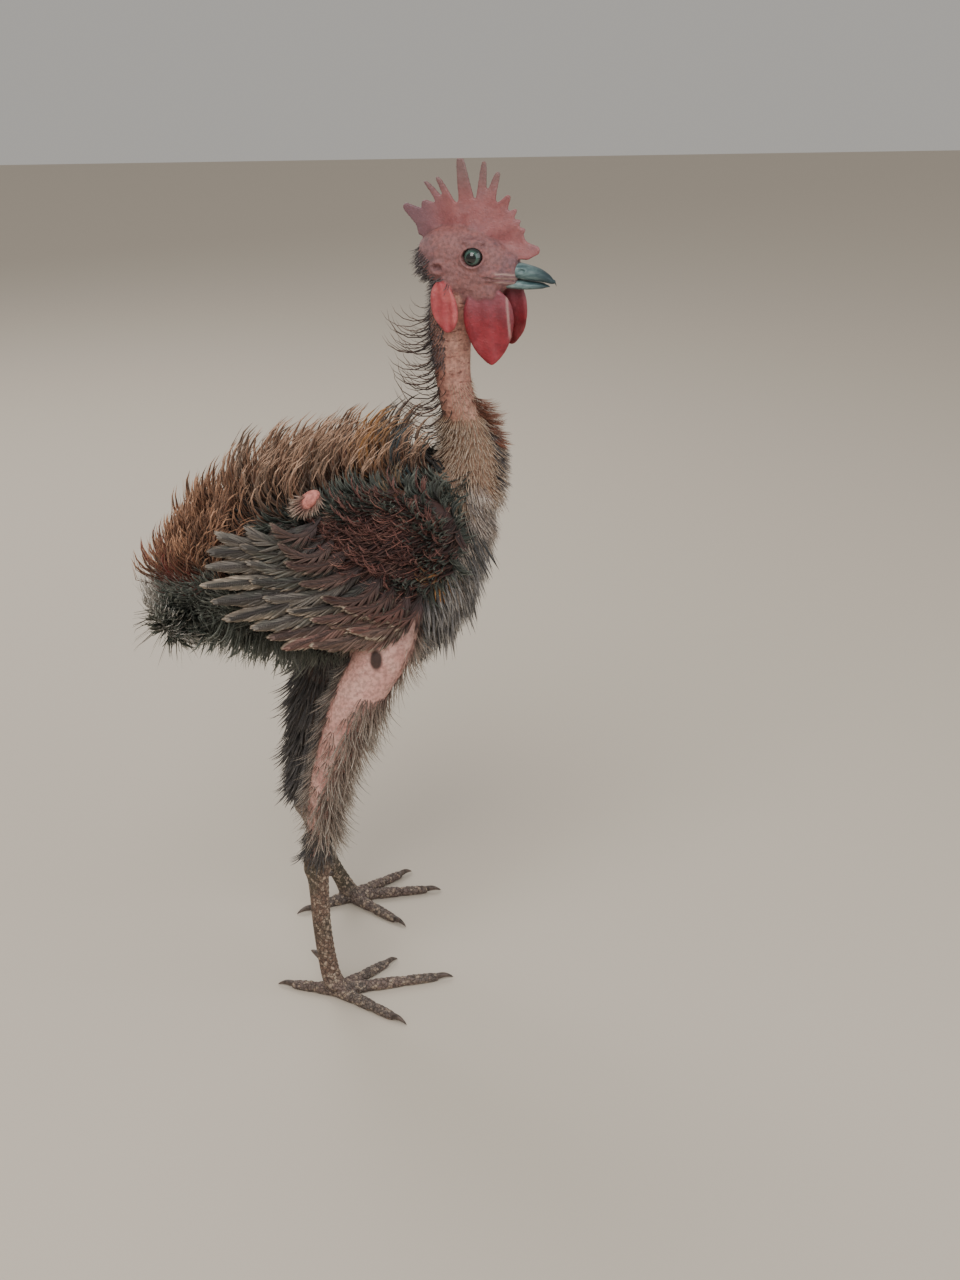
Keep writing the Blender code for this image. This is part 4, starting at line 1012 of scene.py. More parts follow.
def growCoat(name, seed, form, palette, *runs):  # each run is a function that lays tufts, and what it is told
    coat = Coat()
    for cover, *told in runs:
        cover(coat, *told)
    coats.append(coat.grow(name, form, featherLook(name.replace("_", "-"), palette), seed))


def evenly(count):  # pairs of shares, spread evenly over a square
    return [((0.5 + k * 0.7548777) % 1, (0.5 + k * 0.5698403) % 1) for k in range(count)]


def within(span, share):
    return span[0] + (span[1] - span[0]) * share


def onSkin(guess):  # the nearest place on the skin, and the way out from it
    return skinTree.find_nearest(guess)[:2]


def acrossOf(lie, wish):
    return (wish - lie * lie.dot(wish)).normalized()


def coverTrunk(coat, rows, turns, count, upward, rise, wild, size=1, flanks=(-1, 1)):
    first, last = -101, 112  # how far along the trunk tufts are laid
    for shareAlong, shareRound in evenly(count):
        place = min(max(within(rows, shareAlong) + chance.uniform(-2, 2), first), last)
        turn = within(turns, shareRound)
        for flank in flanks:
            angle = math.radians(turn * flank + chance.uniform(-2, 2))
            wanted = trunkPoint(place, angle)
            at, normal = onSkin(wanted)
            if (at - wanted).length > 5:  # under an arm or a thigh
                continue
            lie = acrossOf(normal, Vector((-1 - rise, 0, rise)))
            wander = noise.noise(at * 0.045) * 1.3 + chance.uniform(-0.6, 0.6)
            lie = Matrix.Rotation(wild * wander, 3, normal) @ lie
            lift = acrossOf(lie, normal * (1 - abs(upward)) + up * upward)
            big = chance.uniform(0.7, 1.06) * (1.12 if chance.random() < 0.08 else 1) * size
            shareOfTurn = (angle / (2 * math.pi)) % 1
            mapAt = (0.02 + 0.96 * (place - first) / (last - first), 0.02 + 0.96 * shareOfTurn)
            coat.lay(at, lie, lift, big, mapAt)


frizz = {"strands": 3, "length": 50, "half": 1.15, "curl": (16, 122), "loose": 14, "late": 1.0, "sway": 0.35,
         "fan": 0.2, "gap": 1.2, "fine": 0, "roll": 0.5, "flat": 0, "ridge": 0.35, "sunk": 3,
         "widths": (0.5, 0.9, 1, 0.9, 0.7, 0.45)}
arcs = dict(frizz, strands=2, gap=5.2, fine=2, length=62, half=1.45, curl=(-14, 162), late=0.85, flat=1.2,
            fan=0.12, sway=0.22, loose=16, widths=(0.5, 0.9, 1, 0.95, 0.8, 0.6, 0.35))
growCoat("cape", 0, arcs,
         Palette((28, 23, 20), (118, 80, 60), (214, 174, 146), (0.34, 0.7), 0.75, (56, 48, 44), 0.45,
                 (222, 186, 158)),
         (coverTrunk, (76, 4), (-34, 34), 100, 0.85, 0, 0.35, 1, (1,)),
         (coverTrunk, (8, -36), (-44, 44), 76, 0.85, 0, 0.35, 1, (1,)))
growCoat("saddle", 1, dict(arcs, gap=5, length=49, half=1.4, curl=(-4, 164), late=0.8, flat=1.15),
         Palette((30, 22, 20), (114, 70, 50), (206, 156, 122), (0.34, 0.74), 0.7, (66, 44, 38), 0.4,
                 (216, 172, 140)),
         (coverTrunk, (-40, -99), (-50, 50), 90, 0.8, 0, 0.35, 1, (1,)),
         (coverTrunk, (-48, -99), (44, 92), 56, 0.7, 0, 0.4))
growCoat("under", 2,
         dict(frizz, strands=3, gap=2.2, length=14, half=1.5, curl=(8, 60), flat=0.6, fan=0.3, loose=20,
              widths=(0.6, 1, 0.9, 0.7, 0.4)),
         Palette((16, 15, 15), (34, 30, 28), (72, 60, 52), (0.4, 0.9), 0.6, (26, 30, 30), 0.1, (90, 80, 70)),
         (coverTrunk, (78, -99), (-84, 84), 700, 0.5, 0, 0.5, 1, (1,)),
         (coverTrunk, (20, -100), (84, 180), 330, 0.3, -0.4, 0.6))
shoulder = {
    "form": dict(frizz, strands=3, gap=2.4, fine=1, length=25, half=1.45, curl=(0, 112), fan=0.25, roll=0.6,
                 flat=1.0, loose=30, widths=(0.5, 1, 1.05, 0.8, 0.4), sunk=2),
    "palette": Palette((16, 20, 18), (56, 64, 57), (126, 131, 120), (0.38, 0.84), 0.6, (58, 58, 48), 0.5,
                       (138, 142, 134)),
}
growCoat("shoulder", 3, shoulder["form"], shoulder["palette"],
         (coverTrunk, (92, 36), (24, 96), 200, 0.5, -0.25, 0.9),
         (coverTrunk, (104, 88), (14, 44), 26, 0.3, -0.5, 0.6),
         (coverTrunk, (40, -40), (38, 80), 150, 0.5, -0.15, 0.9))
growCoat("breast", 4,
         dict(frizz, length=33, gap=1.6, fine=1, curl=(5, 30), fan=0.18, sway=0.3, roll=0.7, loose=16,
              widths=(0.6, 1, 0.9, 0.6)),
         Palette((52, 50, 52), (112, 110, 112), (186, 180, 174), (0.28, 0.75), 0.95, (34, 36, 40), 0.4,
                 (204, 196, 188)),
         (coverTrunk, (98, 56), (80, 180), 330, 0, -1, 0.35),
         (coverTrunk, (106, 94), (130, 180), 60, 0, -1, 0.35),
         (coverTrunk, (100, 82), (118, 172), 70, 0, -1, 0.35, 1.2))
growCoat("bib", 5,
         dict(frizz, length=20, half=0.6, curl=(10, 34), fan=0.3, roll=0.7, widths=(0.7, 1, 0.8, 0.5)),
         Palette((110, 92, 84), (178, 156, 144), (226, 212, 200), (0.22, 0.62), 0.8, (70, 66, 70), 0.2,
                 (232, 222, 212)),
         (coverTrunk, (107, 92), (40, 180), 460, 0, -1, 0.3),
         (coverTrunk, (113, 106), (0, 180), 170, 0, -1, 0.3),
         (coverTrunk, (94, 76), (78, 130), 170, 0, -1, 0.3))
growCoat("flank", 6,
         dict(frizz, strands=2, length=38, half=1.5, gap=3.4, fine=2, curl=(-8, 124), flat=1.1, fan=0.18,
              roll=0.4, loose=26, widths=(0.6, 1, 0.95, 0.8, 0.6, 0.35)),
         Palette((26, 31, 28), (88, 96, 87), (164, 165, 154), (0.36, 0.84), 0.6, (46, 47, 45), 0.5,
                 (182, 182, 172)),
         (coverTrunk, (60, -12), (110, 178), 120, 0, -0.5, 0.5, 0.6),
         (coverTrunk, (-6, -60), (92, 178), 130, 0.5, -0.3, 0.5),
         (coverTrunk, (-50, -100), (88, 180), 130, 0.5, -0.2, 0.6),
         (coverTrunk, (-22, -92), (118, 180), 90, -0.5, -0.9, 0.5, 1.15))

# Wings: three tiers of flight feathers, and curled coverts over the arm

flights = {
    "roots": ((0, -6, 54, 362), (0.5, 30, 56, 331), (1, 58, 56, 306)),
    "tips": ((0, -68, 54, 350), (0.25, -79, 57, 322), (0.42, -68, 60, 301), (0.6, -45, 61, 283),
             (0.8, -17, 62, 273), (1, 10, 62, 272)),
    "tiers": ((12, 1, 0), (10, 0.72, 2.4), (8, 0.46, 4.6)),  # how many, share of the length, how far out
    "steps": 9,
    "half": 17,
    "ragged": 0.06,
    "barbs": 80,
    "shingle": math.radians(16),
}


def downOf(run, outward):  # square to a feather's run, and downwards
    down = run.cross(outward).normalized()
    return down if down.z < 0 else -down


def bentLine(root, tip, sag, outward, curl):  # a spine that sags and curls away at its end
    down = downOf(tip - root, outward)
    spine = []
    for share in spread(0, 1, flights["steps"]):
        bow = math.sin(math.pi * share)
        off = outward * (1.5 * bow + curl * share ** 3)
        spine.append(root + (tip - root) * share + down * sag * bow + off)
    return spine


def vaneOf(spine, down, outward, half):  # a shaft with barbs that lap along both of its sides
    steps, count = len(spine), flights["barbs"]
    rings = []
    for k, point in enumerate(spine):
        run = (spine[min(k + 1, steps - 1)] - spine[max(k - 1, 0)]).normalized()
        side = acrossOf(run, down)
        thick = 0.75 * (1 - k / steps) + 0.15
        rings.append(oval(point, side, run.cross(side), thick, thick * 0.8, 5))
    shapes = [loft(rings)]
    shares = [(0.5, k / (steps - 1)) for k in range(steps) for _ in range(5)] + [(0.5, 0), (0.5, 1)]
    gap = (spine[-1] - spine[0]).length / count
    for k in range(count):
        share = 0.1 + 0.9 * (k + 0.5) / count
        at = share * (steps - 1)
        low = min(int(at), steps - 2)
        start = spine[low].lerp(spine[low + 1], at - low)
        run = (spine[low + 1] - spine[low]).normalized()
        side = acrossOf(run, down)
        face = run.cross(side)
        face = face if face.dot(outward) > 0 else -face
        plump = math.sin(math.pi * min(1, share ** 0.8) * 0.94 + 0.12) ** 0.6
        for way, wide in ((1, 0.72), (-1, 1.0)):
            reach = half * wide * plump * chance.uniform(1 - flights["ragged"], 1.06)
            reach *= 0.7 if chance.random() < 0.04 else 1
            slant = math.radians(32 - 20 * share + chance.uniform(-2, 2))
            lay = run * math.cos(slant) + side * way * math.sin(slant)
            droop = chance.uniform(0.1, 0.3) * reach
            rows = []
            for step, width in ((0, 1), (0.5, 1.1), (0.85, 0.7)):
                far = reach * step
                hang = face * (droop * step * step + 0.1)
                centre = start + lay * far * 1.25 + run * far * step * 0.35 - hang
                across = acrossOf(lay, run) * gap * width * 0.95
                rows.append([centre - across, centre + face * 0.12, centre + across])
                shares += [(0.5 + way * 0.5 * step, share)] * 3
            shapes.append(loft(rows, None, start + lay * reach * 1.25 + run * reach * 0.4 - face * droop))
            shares += [(0.5, share), (0.5 + way * 0.5, share)]
    return joined(shapes), shares


def makeFlights(side):
    sign = sides[side]
    outward = Vector((0, sign, 0))
    shapes, vanes, cells, tones = [], [], [], []
    for tier, (count, reach, lift) in enumerate(flights["tiers"]):
        for index, share in enumerate(spread(0, 1, count)):
            root, tip = (Vector(between(flights[end], share)) for end in ("roots", "tips"))
            root.y += lift + tier * 0.6 - 1.2 * share
            tip = root.lerp(tip, reach * chance.uniform(0.93, 1.03))
            tip.y = max(tip.y, root.y - 2 + lift * 0.6)
            root.y *= sign
            tip.y *= sign
            curl = chance.uniform(1, 4.5)
            spine = bentLine(root, tip, chance.uniform(5, 13), outward, curl)
            turn = Matrix.Rotation(flights["shingle"] * -sign, 3, (tip - root).normalized())
            half = flights["half"] * (1 - 0.14 * tier) * chance.uniform(0.9, 1.1)
            shape, shares = vaneOf(spine, turn @ downOf(tip - root, outward), outward, half)
            shapes.append(shape)
            vanes += shares
            cell = tier * 12 + index  # each feather has its own cell of the map
            corner = ((cell % 7) / 7, (cell // 7) / 7)
            cells += [(corner[0] + 0.01 + u * 0.12, corner[1] + 0.01 + v * 0.12) for u, v in shares]
            # two feathers of the top tier and a few at random carry streaks of painted highlight
            streak_and_highlight = float((tier == 0 and index in (3, 5)) or chance.random() < 0.07)
            tones += [(chance.random(), share, tier / 2, streak_and_highlight)] * len(shares)
    piece = newPiece(f"flights_{side}", joined(shapes))
    setMap(piece.data, "vane", vanes)
    setMap(piece.data, "OFBake", cells)
    for name, values in zip(("tone", "order", "tier", "streak_and_highlight"), zip(*tones)):
        setValues(piece.data, name, values)
    keepInside(piece.data)
    return piece


def paintFlights(graph):  # grey above, pink-brown below, pale at the edges and dark beside the shaft, with painted highlight streaks on a few feathers
    here = graph.place()
    vane = graph.add("ShaderNodeUVMap", {"uv_map": "vane"})
    across, length, _ = graph.parts(vane)
    tone, order, tier, streak_and_highlight = (graph.attribute(name) for name in ("tone", "order", "tier", "streak_and_highlight"))
    edge = graph.maths("ABSOLUTE", across - 0.5) * 2
    wander = graph.noise(here, 110) - 0.5
    # painted highlight: pale streaks over the outer part of the chosen feathers
    painted_highlight = streak_and_highlight * (length + wander).step(0.35, 0.8) * edge.step(0.1, 0.6) * 0.6
    pale = (edge + wander * 0.6).step(0.76, 1.0) * (0.35 + 0.65 * order) + painted_highlight * (1 - order)
    barbs = graph.add("ShaderNodeTexWave", {"bands_direction": "Y"},
                      {"Vector": vane, "Scale": 26, "Distortion": 3, "Detail": 2, "Detail Scale": 2}, 1)
    colour = graph.over(graph.mix(tone, (76, 73, 70), (128, 121, 114)),
                        (graph.noise(here, 45, 2).step(0.45, 0.62) * 0.5, (88, 93, 85)),
                        (order.step(0.55, 0.78) * 0.85, graph.mix(tone, (150, 102, 92), (112, 90, 80))),
                        (tier.step(0.6, 1.0) * 0.75, (92, 62, 56)),
                        ((length + wander * 0.5).step(0.4, 0.12) * 0.7, (66, 58, 62)),
                        (graph.maths("MINIMUM", pale, 1), (202, 184, 164)),
                        (length.step(0.62, 0.5) * edge.step(0.5, 0.9) * 0.6, (50, 44, 44)),
                        (edge.step(0.1, 0.03) * 0.7, (52, 44, 44)),
                        (barbs.step(0.5, 0.2) * 0.25, (60, 54, 56)))
    return {"Base Color": colour, "Roughness": 0.6 + tone * 0.1, "Specular IOR Level": 0.35,
            "Normal": graph.relief(barbs, 0.3, 0.0003)}


flightLook = newLook("flights", paintFlights)
for side in sides:
    piece = makeFlights(side)
    piece.data.materials.append(flightLook)
    coats.append(piece)


def coverWing(coat, side, count):  # tufts rooted where a line from the side meets the arm
    sign = sides[side]
    x, _, z = wing["at"]
    halfX, _, halfZ = wing["half"]
    for shareAlong, shareUp in evenly(count):
        ahead = (2 * shareAlong - 1) * halfX * 1.05
        height = (2 * shareUp - 1) * halfZ * 1.02
        if (ahead / halfX) ** 2 + (height / halfZ) ** 2 > 1.05:
            continue
        if height < -12 and ahead < -2 - 0.5 * (height + 12):  # bare of coverts, so the flights show
            continue
        at, normal, *_ = skinTree.ray_cast(Vector((x + ahead, 120 * sign, z + height)), Vector((0, -sign, 0)))
        if at is None:
            continue
        lie = acrossOf(normal, Vector((-0.9, 0, -0.42 + chance.uniform(-0.4, 0.4))))
        lift = acrossOf(lie, normal * 0.5 + up * chance.uniform(0.5, 1))
        reach = 0.75 if ahead < -0.55 * halfX else 1.0
        mapAt = (0.25 + 0.24 * sign + 0.46 * shareAlong, shareUp)
        coat.lay(at, lie, lift, reach * chance.uniform(0.8, 1.1), mapAt)


def coverFront(coat, side, count):  # the front and upper edge of the arm
    sign = sides[side]
    x, y, z = wing["at"]
    halfX, halfY, halfZ = wing["half"]
    for shareRound, shareOut in evenly(count):
        turn = math.radians(-75 + 215 * shareRound)
        out = 1.9 * shareOut - 0.9
        slim = 1 - 0.35 * max(out, 0)
        ahead, above = halfX * math.cos(turn) * slim, halfZ * math.sin(turn) * slim
        at, normal = onSkin(Vector((x + ahead, sign * (y + halfY * out), z + above)))
        lie = acrossOf(normal, Vector((-0.9, 0, chance.uniform(-0.5, 0.3))))
        lift = acrossOf(lie, normal + up * 0.6)
        coat.lay(at, lie, lift, chance.uniform(0.6, 1.0), (shareRound, shareOut), weight=0.3)


covert = dict(frizz, strands=3, length=29, half=1.3, gap=2.6, fine=2, curl=(-10, 112), loose=30, late=1.1,
              sway=0.5, flat=1.05, widths=(0.45, 0.9, 1, 0.85, 0.6, 0.35), sunk=2.5)
covertColours = Palette((34, 22, 22), (96, 54, 50), (158, 106, 96), (0.34, 0.84), 0.5, (60, 36, 36), 0.6,
                        (196, 148, 134))
growCoat("covert_under", 23, dict(covert, length=15, half=1.9, fine=0, curl=(6, 50), flat=0.4),
         covertColours._replace(middle=(56, 34, 34), tip=(84, 54, 52), rim=0.2),
         (coverWing, "right", 420), (coverWing, "left", 360))
growCoat("coverts", 21, covert, covertColours, (coverWing, "right", 210), (coverWing, "left", 180))
growCoat("covert_shafts", 22, dict(covert, strands=2, length=31, half=0.6, ridge=0.8),
         Palette((106, 60, 54), (164, 110, 98), (196, 152, 136), (0.25, 0.8), 0.3, (150, 100, 90), 0,
                 (206, 164, 150)),
         (coverWing, "right", 90), (coverWing, "left", 80))
growCoat("shoulder_front", 24, shoulder["form"], shoulder["palette"],
         (coverFront, "right", 230), (coverFront, "left", 230))

# Rump, neck, head and leg feathers


def coverRump(coat, count, span, turns, off, outwards, upward, least, droop=None):  # round the rump's line
    run = (rump["tip"] - rump["root"]).normalized()
    for shareAlong, shareRound in evenly(count):
        turn = math.radians(within(turns, shareRound))
        outward = aside * math.sin(turn) + run.cross(aside) * math.cos(turn)
        at, _ = onSkin(rump["root"].lerp(rump["tip"], within(span, shareAlong)) + outward * off)
        hang = chance.uniform(*droop) if droop else 0
        lie = (run + outward * outwards + up * hang).normalized()
        lift = acrossOf(lie, outward + up * upward)
        coat.lay(at, lie, lift, chance.uniform(least, 1.05), (shareAlong, shareRound))


tailForm = dict(frizz, length=30, half=1.4, gap=2.4, fine=1, curl=(0, 112), flat=0.8, loose=26)
tailColours = Palette((22, 27, 24), (60, 70, 62), (124, 126, 114), (0.35, 0.85), 0.5, (84, 72, 58), 0.4,
                      (140, 140, 128))
tailEnd = ((0.65, 1.05), (-150, 150), 12, 0.6, 0.4, 0.6, (-0.5, 0.2))  # where fluff and quills grow, and how
growCoat("tail_curls", 31, tailForm, tailColours,
         (coverRump, 190, (0.1, 0.95), (-115, 115), 14, 0.35, 0.8, 0.7))
growCoat("tail_fluff", 32, dict(tailForm, strands=5, gap=1.4, fan=0.9, length=33, half=0.6),
         tailColours._replace(root=(150, 142, 134), middle=(212, 204, 194), tip=(238, 233, 225), vary=0.05),
         (coverRump, 80, *tailEnd))
growCoat("tail_quills", 32, dict(tailForm, strands=1, length=40, half=0.45, ridge=0.9, curl=(-12, 24)),
         tailColours._replace(middle=(58, 48, 42), tip=(96, 84, 74)), (coverRump, 34, *tailEnd))

thread = dict(frizz, strands=1, half=0.34, ridge=0.9, fan=0.05, sway=0.4, roll=0.2, sunk=1.5,
              widths=(1, 0.95, 0.85, 0.7, 0.45))


def coverNeck(coat, heights, turns, count, outwards, size, flat=1, upward=False):  # hanging, and standing out
    for shareHigh, shareRound in evenly(count):
        turn = math.radians(within(turns, shareRound))
        at, _ = onSkin(neckPoint(within(heights, shareHigh), turn))
        outward = (along * math.cos(turn) + aside * math.sin(turn) * flat).normalized()
        lie = (outward * outwards * chance.uniform(0.8, 1.2) - up).normalized()
        lift = acrossOf(lie, up if upward else outward)
        coat.lay(at, lie, lift, size * chance.uniform(0.7, 1.1), (shareRound, shareHigh))


def coverElbow(coat, side, count):  # pale stubs round the bare elbow
    x, y, z = wing["elbow"]
    for shareRound, shareFar in evenly(count):
        turn = math.radians(130 + 250 * shareRound)
        far = 5 + 15 * shareFar ** 1.4
        guess = Vector((x + far * math.cos(turn), (y + 4) * sides[side], z + far * math.sin(turn)))
        at, normal = onSkin(guess)
        lie = acrossOf(normal, Vector((-0.7, 0, -0.7)))
        lift = acrossOf(lie, normal + up * 0.3)
        coat.lay(at, lie, lift, chance.uniform(0.6, 1.1), (shareRound, shareFar))


def coverNape(coat, count):  # down on the back of the skull, clear of the comb and the ears
    earAhead, earHeight = head["ear"]
    for shareAlong, shareRound in evenly(count):
        ahead = -30 + 22 * shareAlong
        turn = math.radians(-150 + 300 * shareRound)
        centre, halfWidth, halfHeight = between(head["skull"], ahead)
        out, height = halfWidth * math.sin(turn), centre + halfHeight * math.cos(turn)
        nearEar = math.hypot((ahead - earAhead) / 6.5, (height - earHeight) / 5.5) < 1
        if nearEar or height > 6 - 0.7 * (ahead + 30):
            continue
        at, normal = onSkin(headPoint(ahead, out, height))
        lie = acrossOf(normal, -forward * 0.8 - up * 0.7)
        coat.lay(at, lie, normal, chance.uniform(0.5, 1.0), (shareAlong, shareRound))


def coverThigh(coat, side, shares, turns, count, outwards, size):  # shares count the thigh's own ovals
    table = [(i, *at, halfX, halfY) for i, (at, halfX, halfY) in enumerate(thighs[side])]
    for shareDown, shareRound in evenly(count):
        turn = math.radians(within(turns, shareRound))
        outward = Vector((math.cos(turn), -sides[side] * math.sin(turn), 0))
        x, y, z, halfX, halfY = between(table, within(shares, shareDown))
        at, normal = onSkin(Vector((x + halfX * outward.x, y + halfY * outward.y, z)))
        lie = acrossOf(normal, Vector((-0.25, 0, -1)) + outward * outwards)
        coat.lay(at, lie, normal, size * chance.uniform(0.7, 1.15), (shareRound, shareDown), weight=0)


growCoat("hackles", 41, dict(thread, length=42, half=0.72, curl=(-14, 116), loose=26, sway=0.6),
         Palette((44, 34, 30), (66, 48, 40), (110, 84, 70), (0.3, 0.8), 0.4, (110, 84, 72), 0.1,
                 (120, 96, 84)),
         (coverNeck, (396, 480), (146, 214), 62, 1.5, 1, 0.6, True),
         (coverNeck, (396, 486), (118, 242), 80, 1.2, 0.5, 0.8, True))
growCoat("elbow_stubs", 25, dict(thread, length=10, half=0.55, curl=(10, 70), loose=30),
         Palette((132, 92, 84), (170, 138, 124), (204, 184, 168), (0.3, 0.7), 0.5, (98, 70, 62), 0,
                 (214, 198, 184)),
         (coverElbow, "right", 170), (coverElbow, "left", 170))
growCoat("stubble", 42, dict(thread, length=11, half=0.42, curl=(14, 36)),
         Palette((150, 118, 96), (196, 170, 146), (222, 204, 186), (0.3, 0.7), 0.4, (108, 84, 68), 0,
                 (222, 204, 186)),
         (coverNeck, (350, 412), (-180, 180), 2200, 0.4, 0.95),
         (coverNeck, (408, 436), (-110, 110), 360, 0.4, 0.5),
         (coverNeck, (436, 470), (-110, 110), 160, 0.4, 0.25))
growCoat("neck_tuft", 43, dict(frizz, length=19, half=0.6, fine=1, curl=(8, 62)),
         Palette((78, 46, 36), (128, 76, 56), (160, 108, 84), (0.3, 0.8), 0.4, (92, 60, 50), 0.2,
                 (170, 122, 100)),
         (coverNeck, (398, 424), (-34, 24), 64, 0.8, 0.95))
growCoat("neck_fringe", 45, dict(frizz, length=12, half=0.42, curl=(8, 36)),
         Palette((40, 36, 38), (84, 80, 82), (150, 144, 142), (0.3, 0.8), 0.5, (28, 28, 32), 0.2,
                 (160, 150, 146)),
         (coverNeck, (366, 408), (-44, 34), 260, 0.45, 0.9))
growCoat("nape", 44, dict(thread, length=8, half=0.36, curl=(14, 56)),
         Palette((60, 54, 56), (96, 88, 90), (138, 128, 126), (0.3, 0.8), 0.4, (70, 70, 78), 0.1,
                 (150, 140, 138)),
         (coverNape, 1100),
         (coverNeck, (446, 500), (112, 248), 620, 0.3, 0.8))
growCoat("thigh_hairs", 51,
         dict(thread, strands=3, gap=1.4, fan=0.6, fine=1, length=27, half=0.5, curl=(2, 44), loose=30,
              sway=0.9),
         Palette((124, 98, 88), (156, 138, 124), (200, 188, 174), (0.25, 0.7), 0.6, (70, 62, 58), 0,
                 (198, 188, 180)),
         (coverThigh, "right", (1.8, 4.9), (268, 400), 330, 0.3, 1),
         (coverThigh, "right", (0.3, 2.2), (-34, 40), 70, 0.2, 1),
         (coverThigh, "right", (0.3, 5.0), (40, 150), 120, 0.15, 0.9),
         (coverThigh, "right", (0.3, 5.0), (150, 196), 70, 0.15, 0.7),
         (coverThigh, "right", (2.0, 4.9), (200, 268), 46, 0.1, 0.55))
growCoat("thigh_locks", 52,
         dict(frizz, length=27, half=1.1, gap=1.8, fine=1, curl=(4, 50), loose=22, fan=0.3,
              widths=(0.6, 1, 0.8, 0.5)),
         Palette((40, 38, 40), (78, 74, 74), (128, 122, 118), (0.3, 0.8), 0.5, (36, 36, 40), 0.2,
                 (140, 134, 130)),
         (coverThigh, "left", (0.2, 5.4), (-180, 180), 640, 0.1, 1),
         (coverThigh, "right", (0.3, 2.8), (100, 190), 70, 0.1, 0.9),
         (coverThigh, "right", (4.7, 5.9), (-180, 180), 170, 0.05, 0.55))
print("coat grown")

# Eyes, bill, claws and spurs


def makeEye(side):
    ahead, out, height = head["eye"]
    radius = head["eyeRadius"]
    centre = headPoint(ahead, out * sides[side], height)
    outward = leftward * sides[side] * radius
    rings, shares = [], []
    for k in range(1, 30):
        turn = math.pi * k / 30
        bulge = 1 + 0.05 * math.exp(-((turn - math.pi) / 0.5) ** 2)  # the cornea stands proud
        wide = radius * math.sin(turn) * bulge
        rings.append(oval(centre - outward * bulge * math.cos(turn), forward, up, wide, wide, 48))
        shares += [1 - k / 30] * 48
    piece = newPiece(f"eyeball_{side}", loft(rings, centre - outward, centre + outward * 1.05))
    setValues(piece.data, "fromPupil", shares + [1, 0])
    return piece


def paintEye(graph):  # black pupil, grey-green iris with a fine grain, dark rim
    away = graph.attribute("fromPupil")
    iris = graph.mix(graph.noise(graph.place(), 900), (36, 64, 58), (66, 98, 88))
    colour = graph.over(iris, (away.step(0.22, 0.31), (22, 34, 34)), (away.step(0.19, 0.15), (9, 15, 16)))
    return {"Base Color": colour, "Roughness": 0.12, "Coat Weight": 0.6, "Coat Roughness": 0.03}


bill = {
    "upper": ((28, -3.2, -12.8, 7.6), (36, -3.8, -13.5, 7.4), (42, -4.8, -14.2, 7), (50.5, -7, -15, 5.2),
              (56, -10, -15.8, 3.6), (59.6, -13, -16.8, 2)),
    "upperTip": (62, -18),
    "lower": ((30, -13.6, -20.4, 6.6), (43, -15, -20.6, 6), (51, -15.8, -19.8, 4.4), (55, -16.6, -19.2, 2.6)),
    "lowerTip": (57.8, -18.4),
    "nostril": {"at": (40, -7.8), "half": (2.8, 1.25), "deep": 1.5, "rim": 0.25},
}


def pierce(point, ahead):  # sinks the nostril into the side of the bill, inside a low rim
    nostril = bill["nostril"]
    height = point.z - head["at"].z
    far = math.hypot((ahead - nostril["at"][0]) / nostril["half"][0],
                     (height - nostril["at"][1]) / nostril["half"][1])
    rim = math.exp(-((far - 1.25) / 0.28) ** 2)
    return nostril["rim"] * rim - nostril["deep"] * max(0, 1 - far ** 3)


def makeBill(half):
    table, tip = bill[half], bill[f"{half}Tip"]
    last = table[-1][0]
    rings = []
    for ahead in spread(table[0][0], last + 1.2, 60):
        top, bottom, wide = between(table, min(ahead, last))
        close = 1 - 0.45 * max(0, ahead - last + 1.5) / 2.7
        centre = headPoint(ahead, 0, (top + bottom) / 2)
        ring = oval(centre, leftward, up, wide * close, (top - bottom) / 2 * close, 56, 2.3)
        for point in ring:
            out = (point - centre).dot(leftward)
            if half == "upper" and abs(out) > 2:
                point += leftward * math.copysign(1, out) * pierce(point, ahead)
        rings.append(ring)
    return newPiece(f"bill_{half}", loft(rings, None, headPoint(tip[0], 0, tip[1])))


def paintBill(graph):
    x, *_ = graph.parts(graph.place())
    streaks = graph.noise(graph.place((1, 1, 3.5)), 150, 4, 0.6)
    colour = graph.over(graph.mix(streaks.step(0.35, 0.65), (70, 96, 100), (118, 142, 142)),
                        (streaks.step(0.6, 0.72) * 0.7, (156, 172, 168)),
                        (x.step(0.118, 0.138), (36, 56, 62)),
                        (x.step(0.115, 0.104) * 0.6, (150, 152, 150)))
    return {"Base Color": colour, "Roughness": 0.36 + streaks * 0.15,
            "Normal": graph.relief(streaks, 0.25, 0.0004)}


def curvedHorn(root, way, upwards, rows, tip):  # a claw or a spur, from how far, how high and two half sizes
    across = upwards.cross(way)
    rings = []
    for far in spread(rows[0][0], rows[-1][0], 16):
        height, wide, high = between(rows, far)
        rings.append(oval(root + way * far + upwards * height, across, upwards, wide, high, 18, 2.2))
    return loft(rings, None, root + way * tip[0] + upwards * tip[1])


def makeClaws(side):
    shapes = []
    for degrees, length in toes[side].values():
        rows = ((length - 3, 3.1, 1.7, 2.2), (length + 1, 3.5, 1.8, 2.3), (length + 5, 3.6, 1.5, 1.9),
                (length + 8, 2.9, 1.1, 1.3), (length + 10.6, 1.7, 0.6, 0.7))
        shapes.append(curvedHorn(Vector((*ankles[side], 0)), heading(side, degrees), up, rows,
                                 (length + toe["claw"], 0.6)))
    return newPiece(f"claws_{side}", joined(shapes))


def makeSpur(side):  # the point of the spur, on the back of the shank
    low, high = shanks[side][-2][0], shanks[side][-3][0]
    root = Vector(low).lerp(Vector(high), (30 - low[2]) / (high[2] - low[2]))
    outward = Vector((-0.75, -sides[side] * 0.6, 0.1)).normalized()
    rows = ((3, 0, 3.5, 3.5), (7, 0.1, 3.0, 3.0), (11, 0.3, 1.9, 1.9), (14, 0.5, 0.9, 0.9))
    return newPiece(f"spur_point_{side}", curvedHorn(root, outward, acrossOf(outward, up), rows, (15.4, 0.5)))


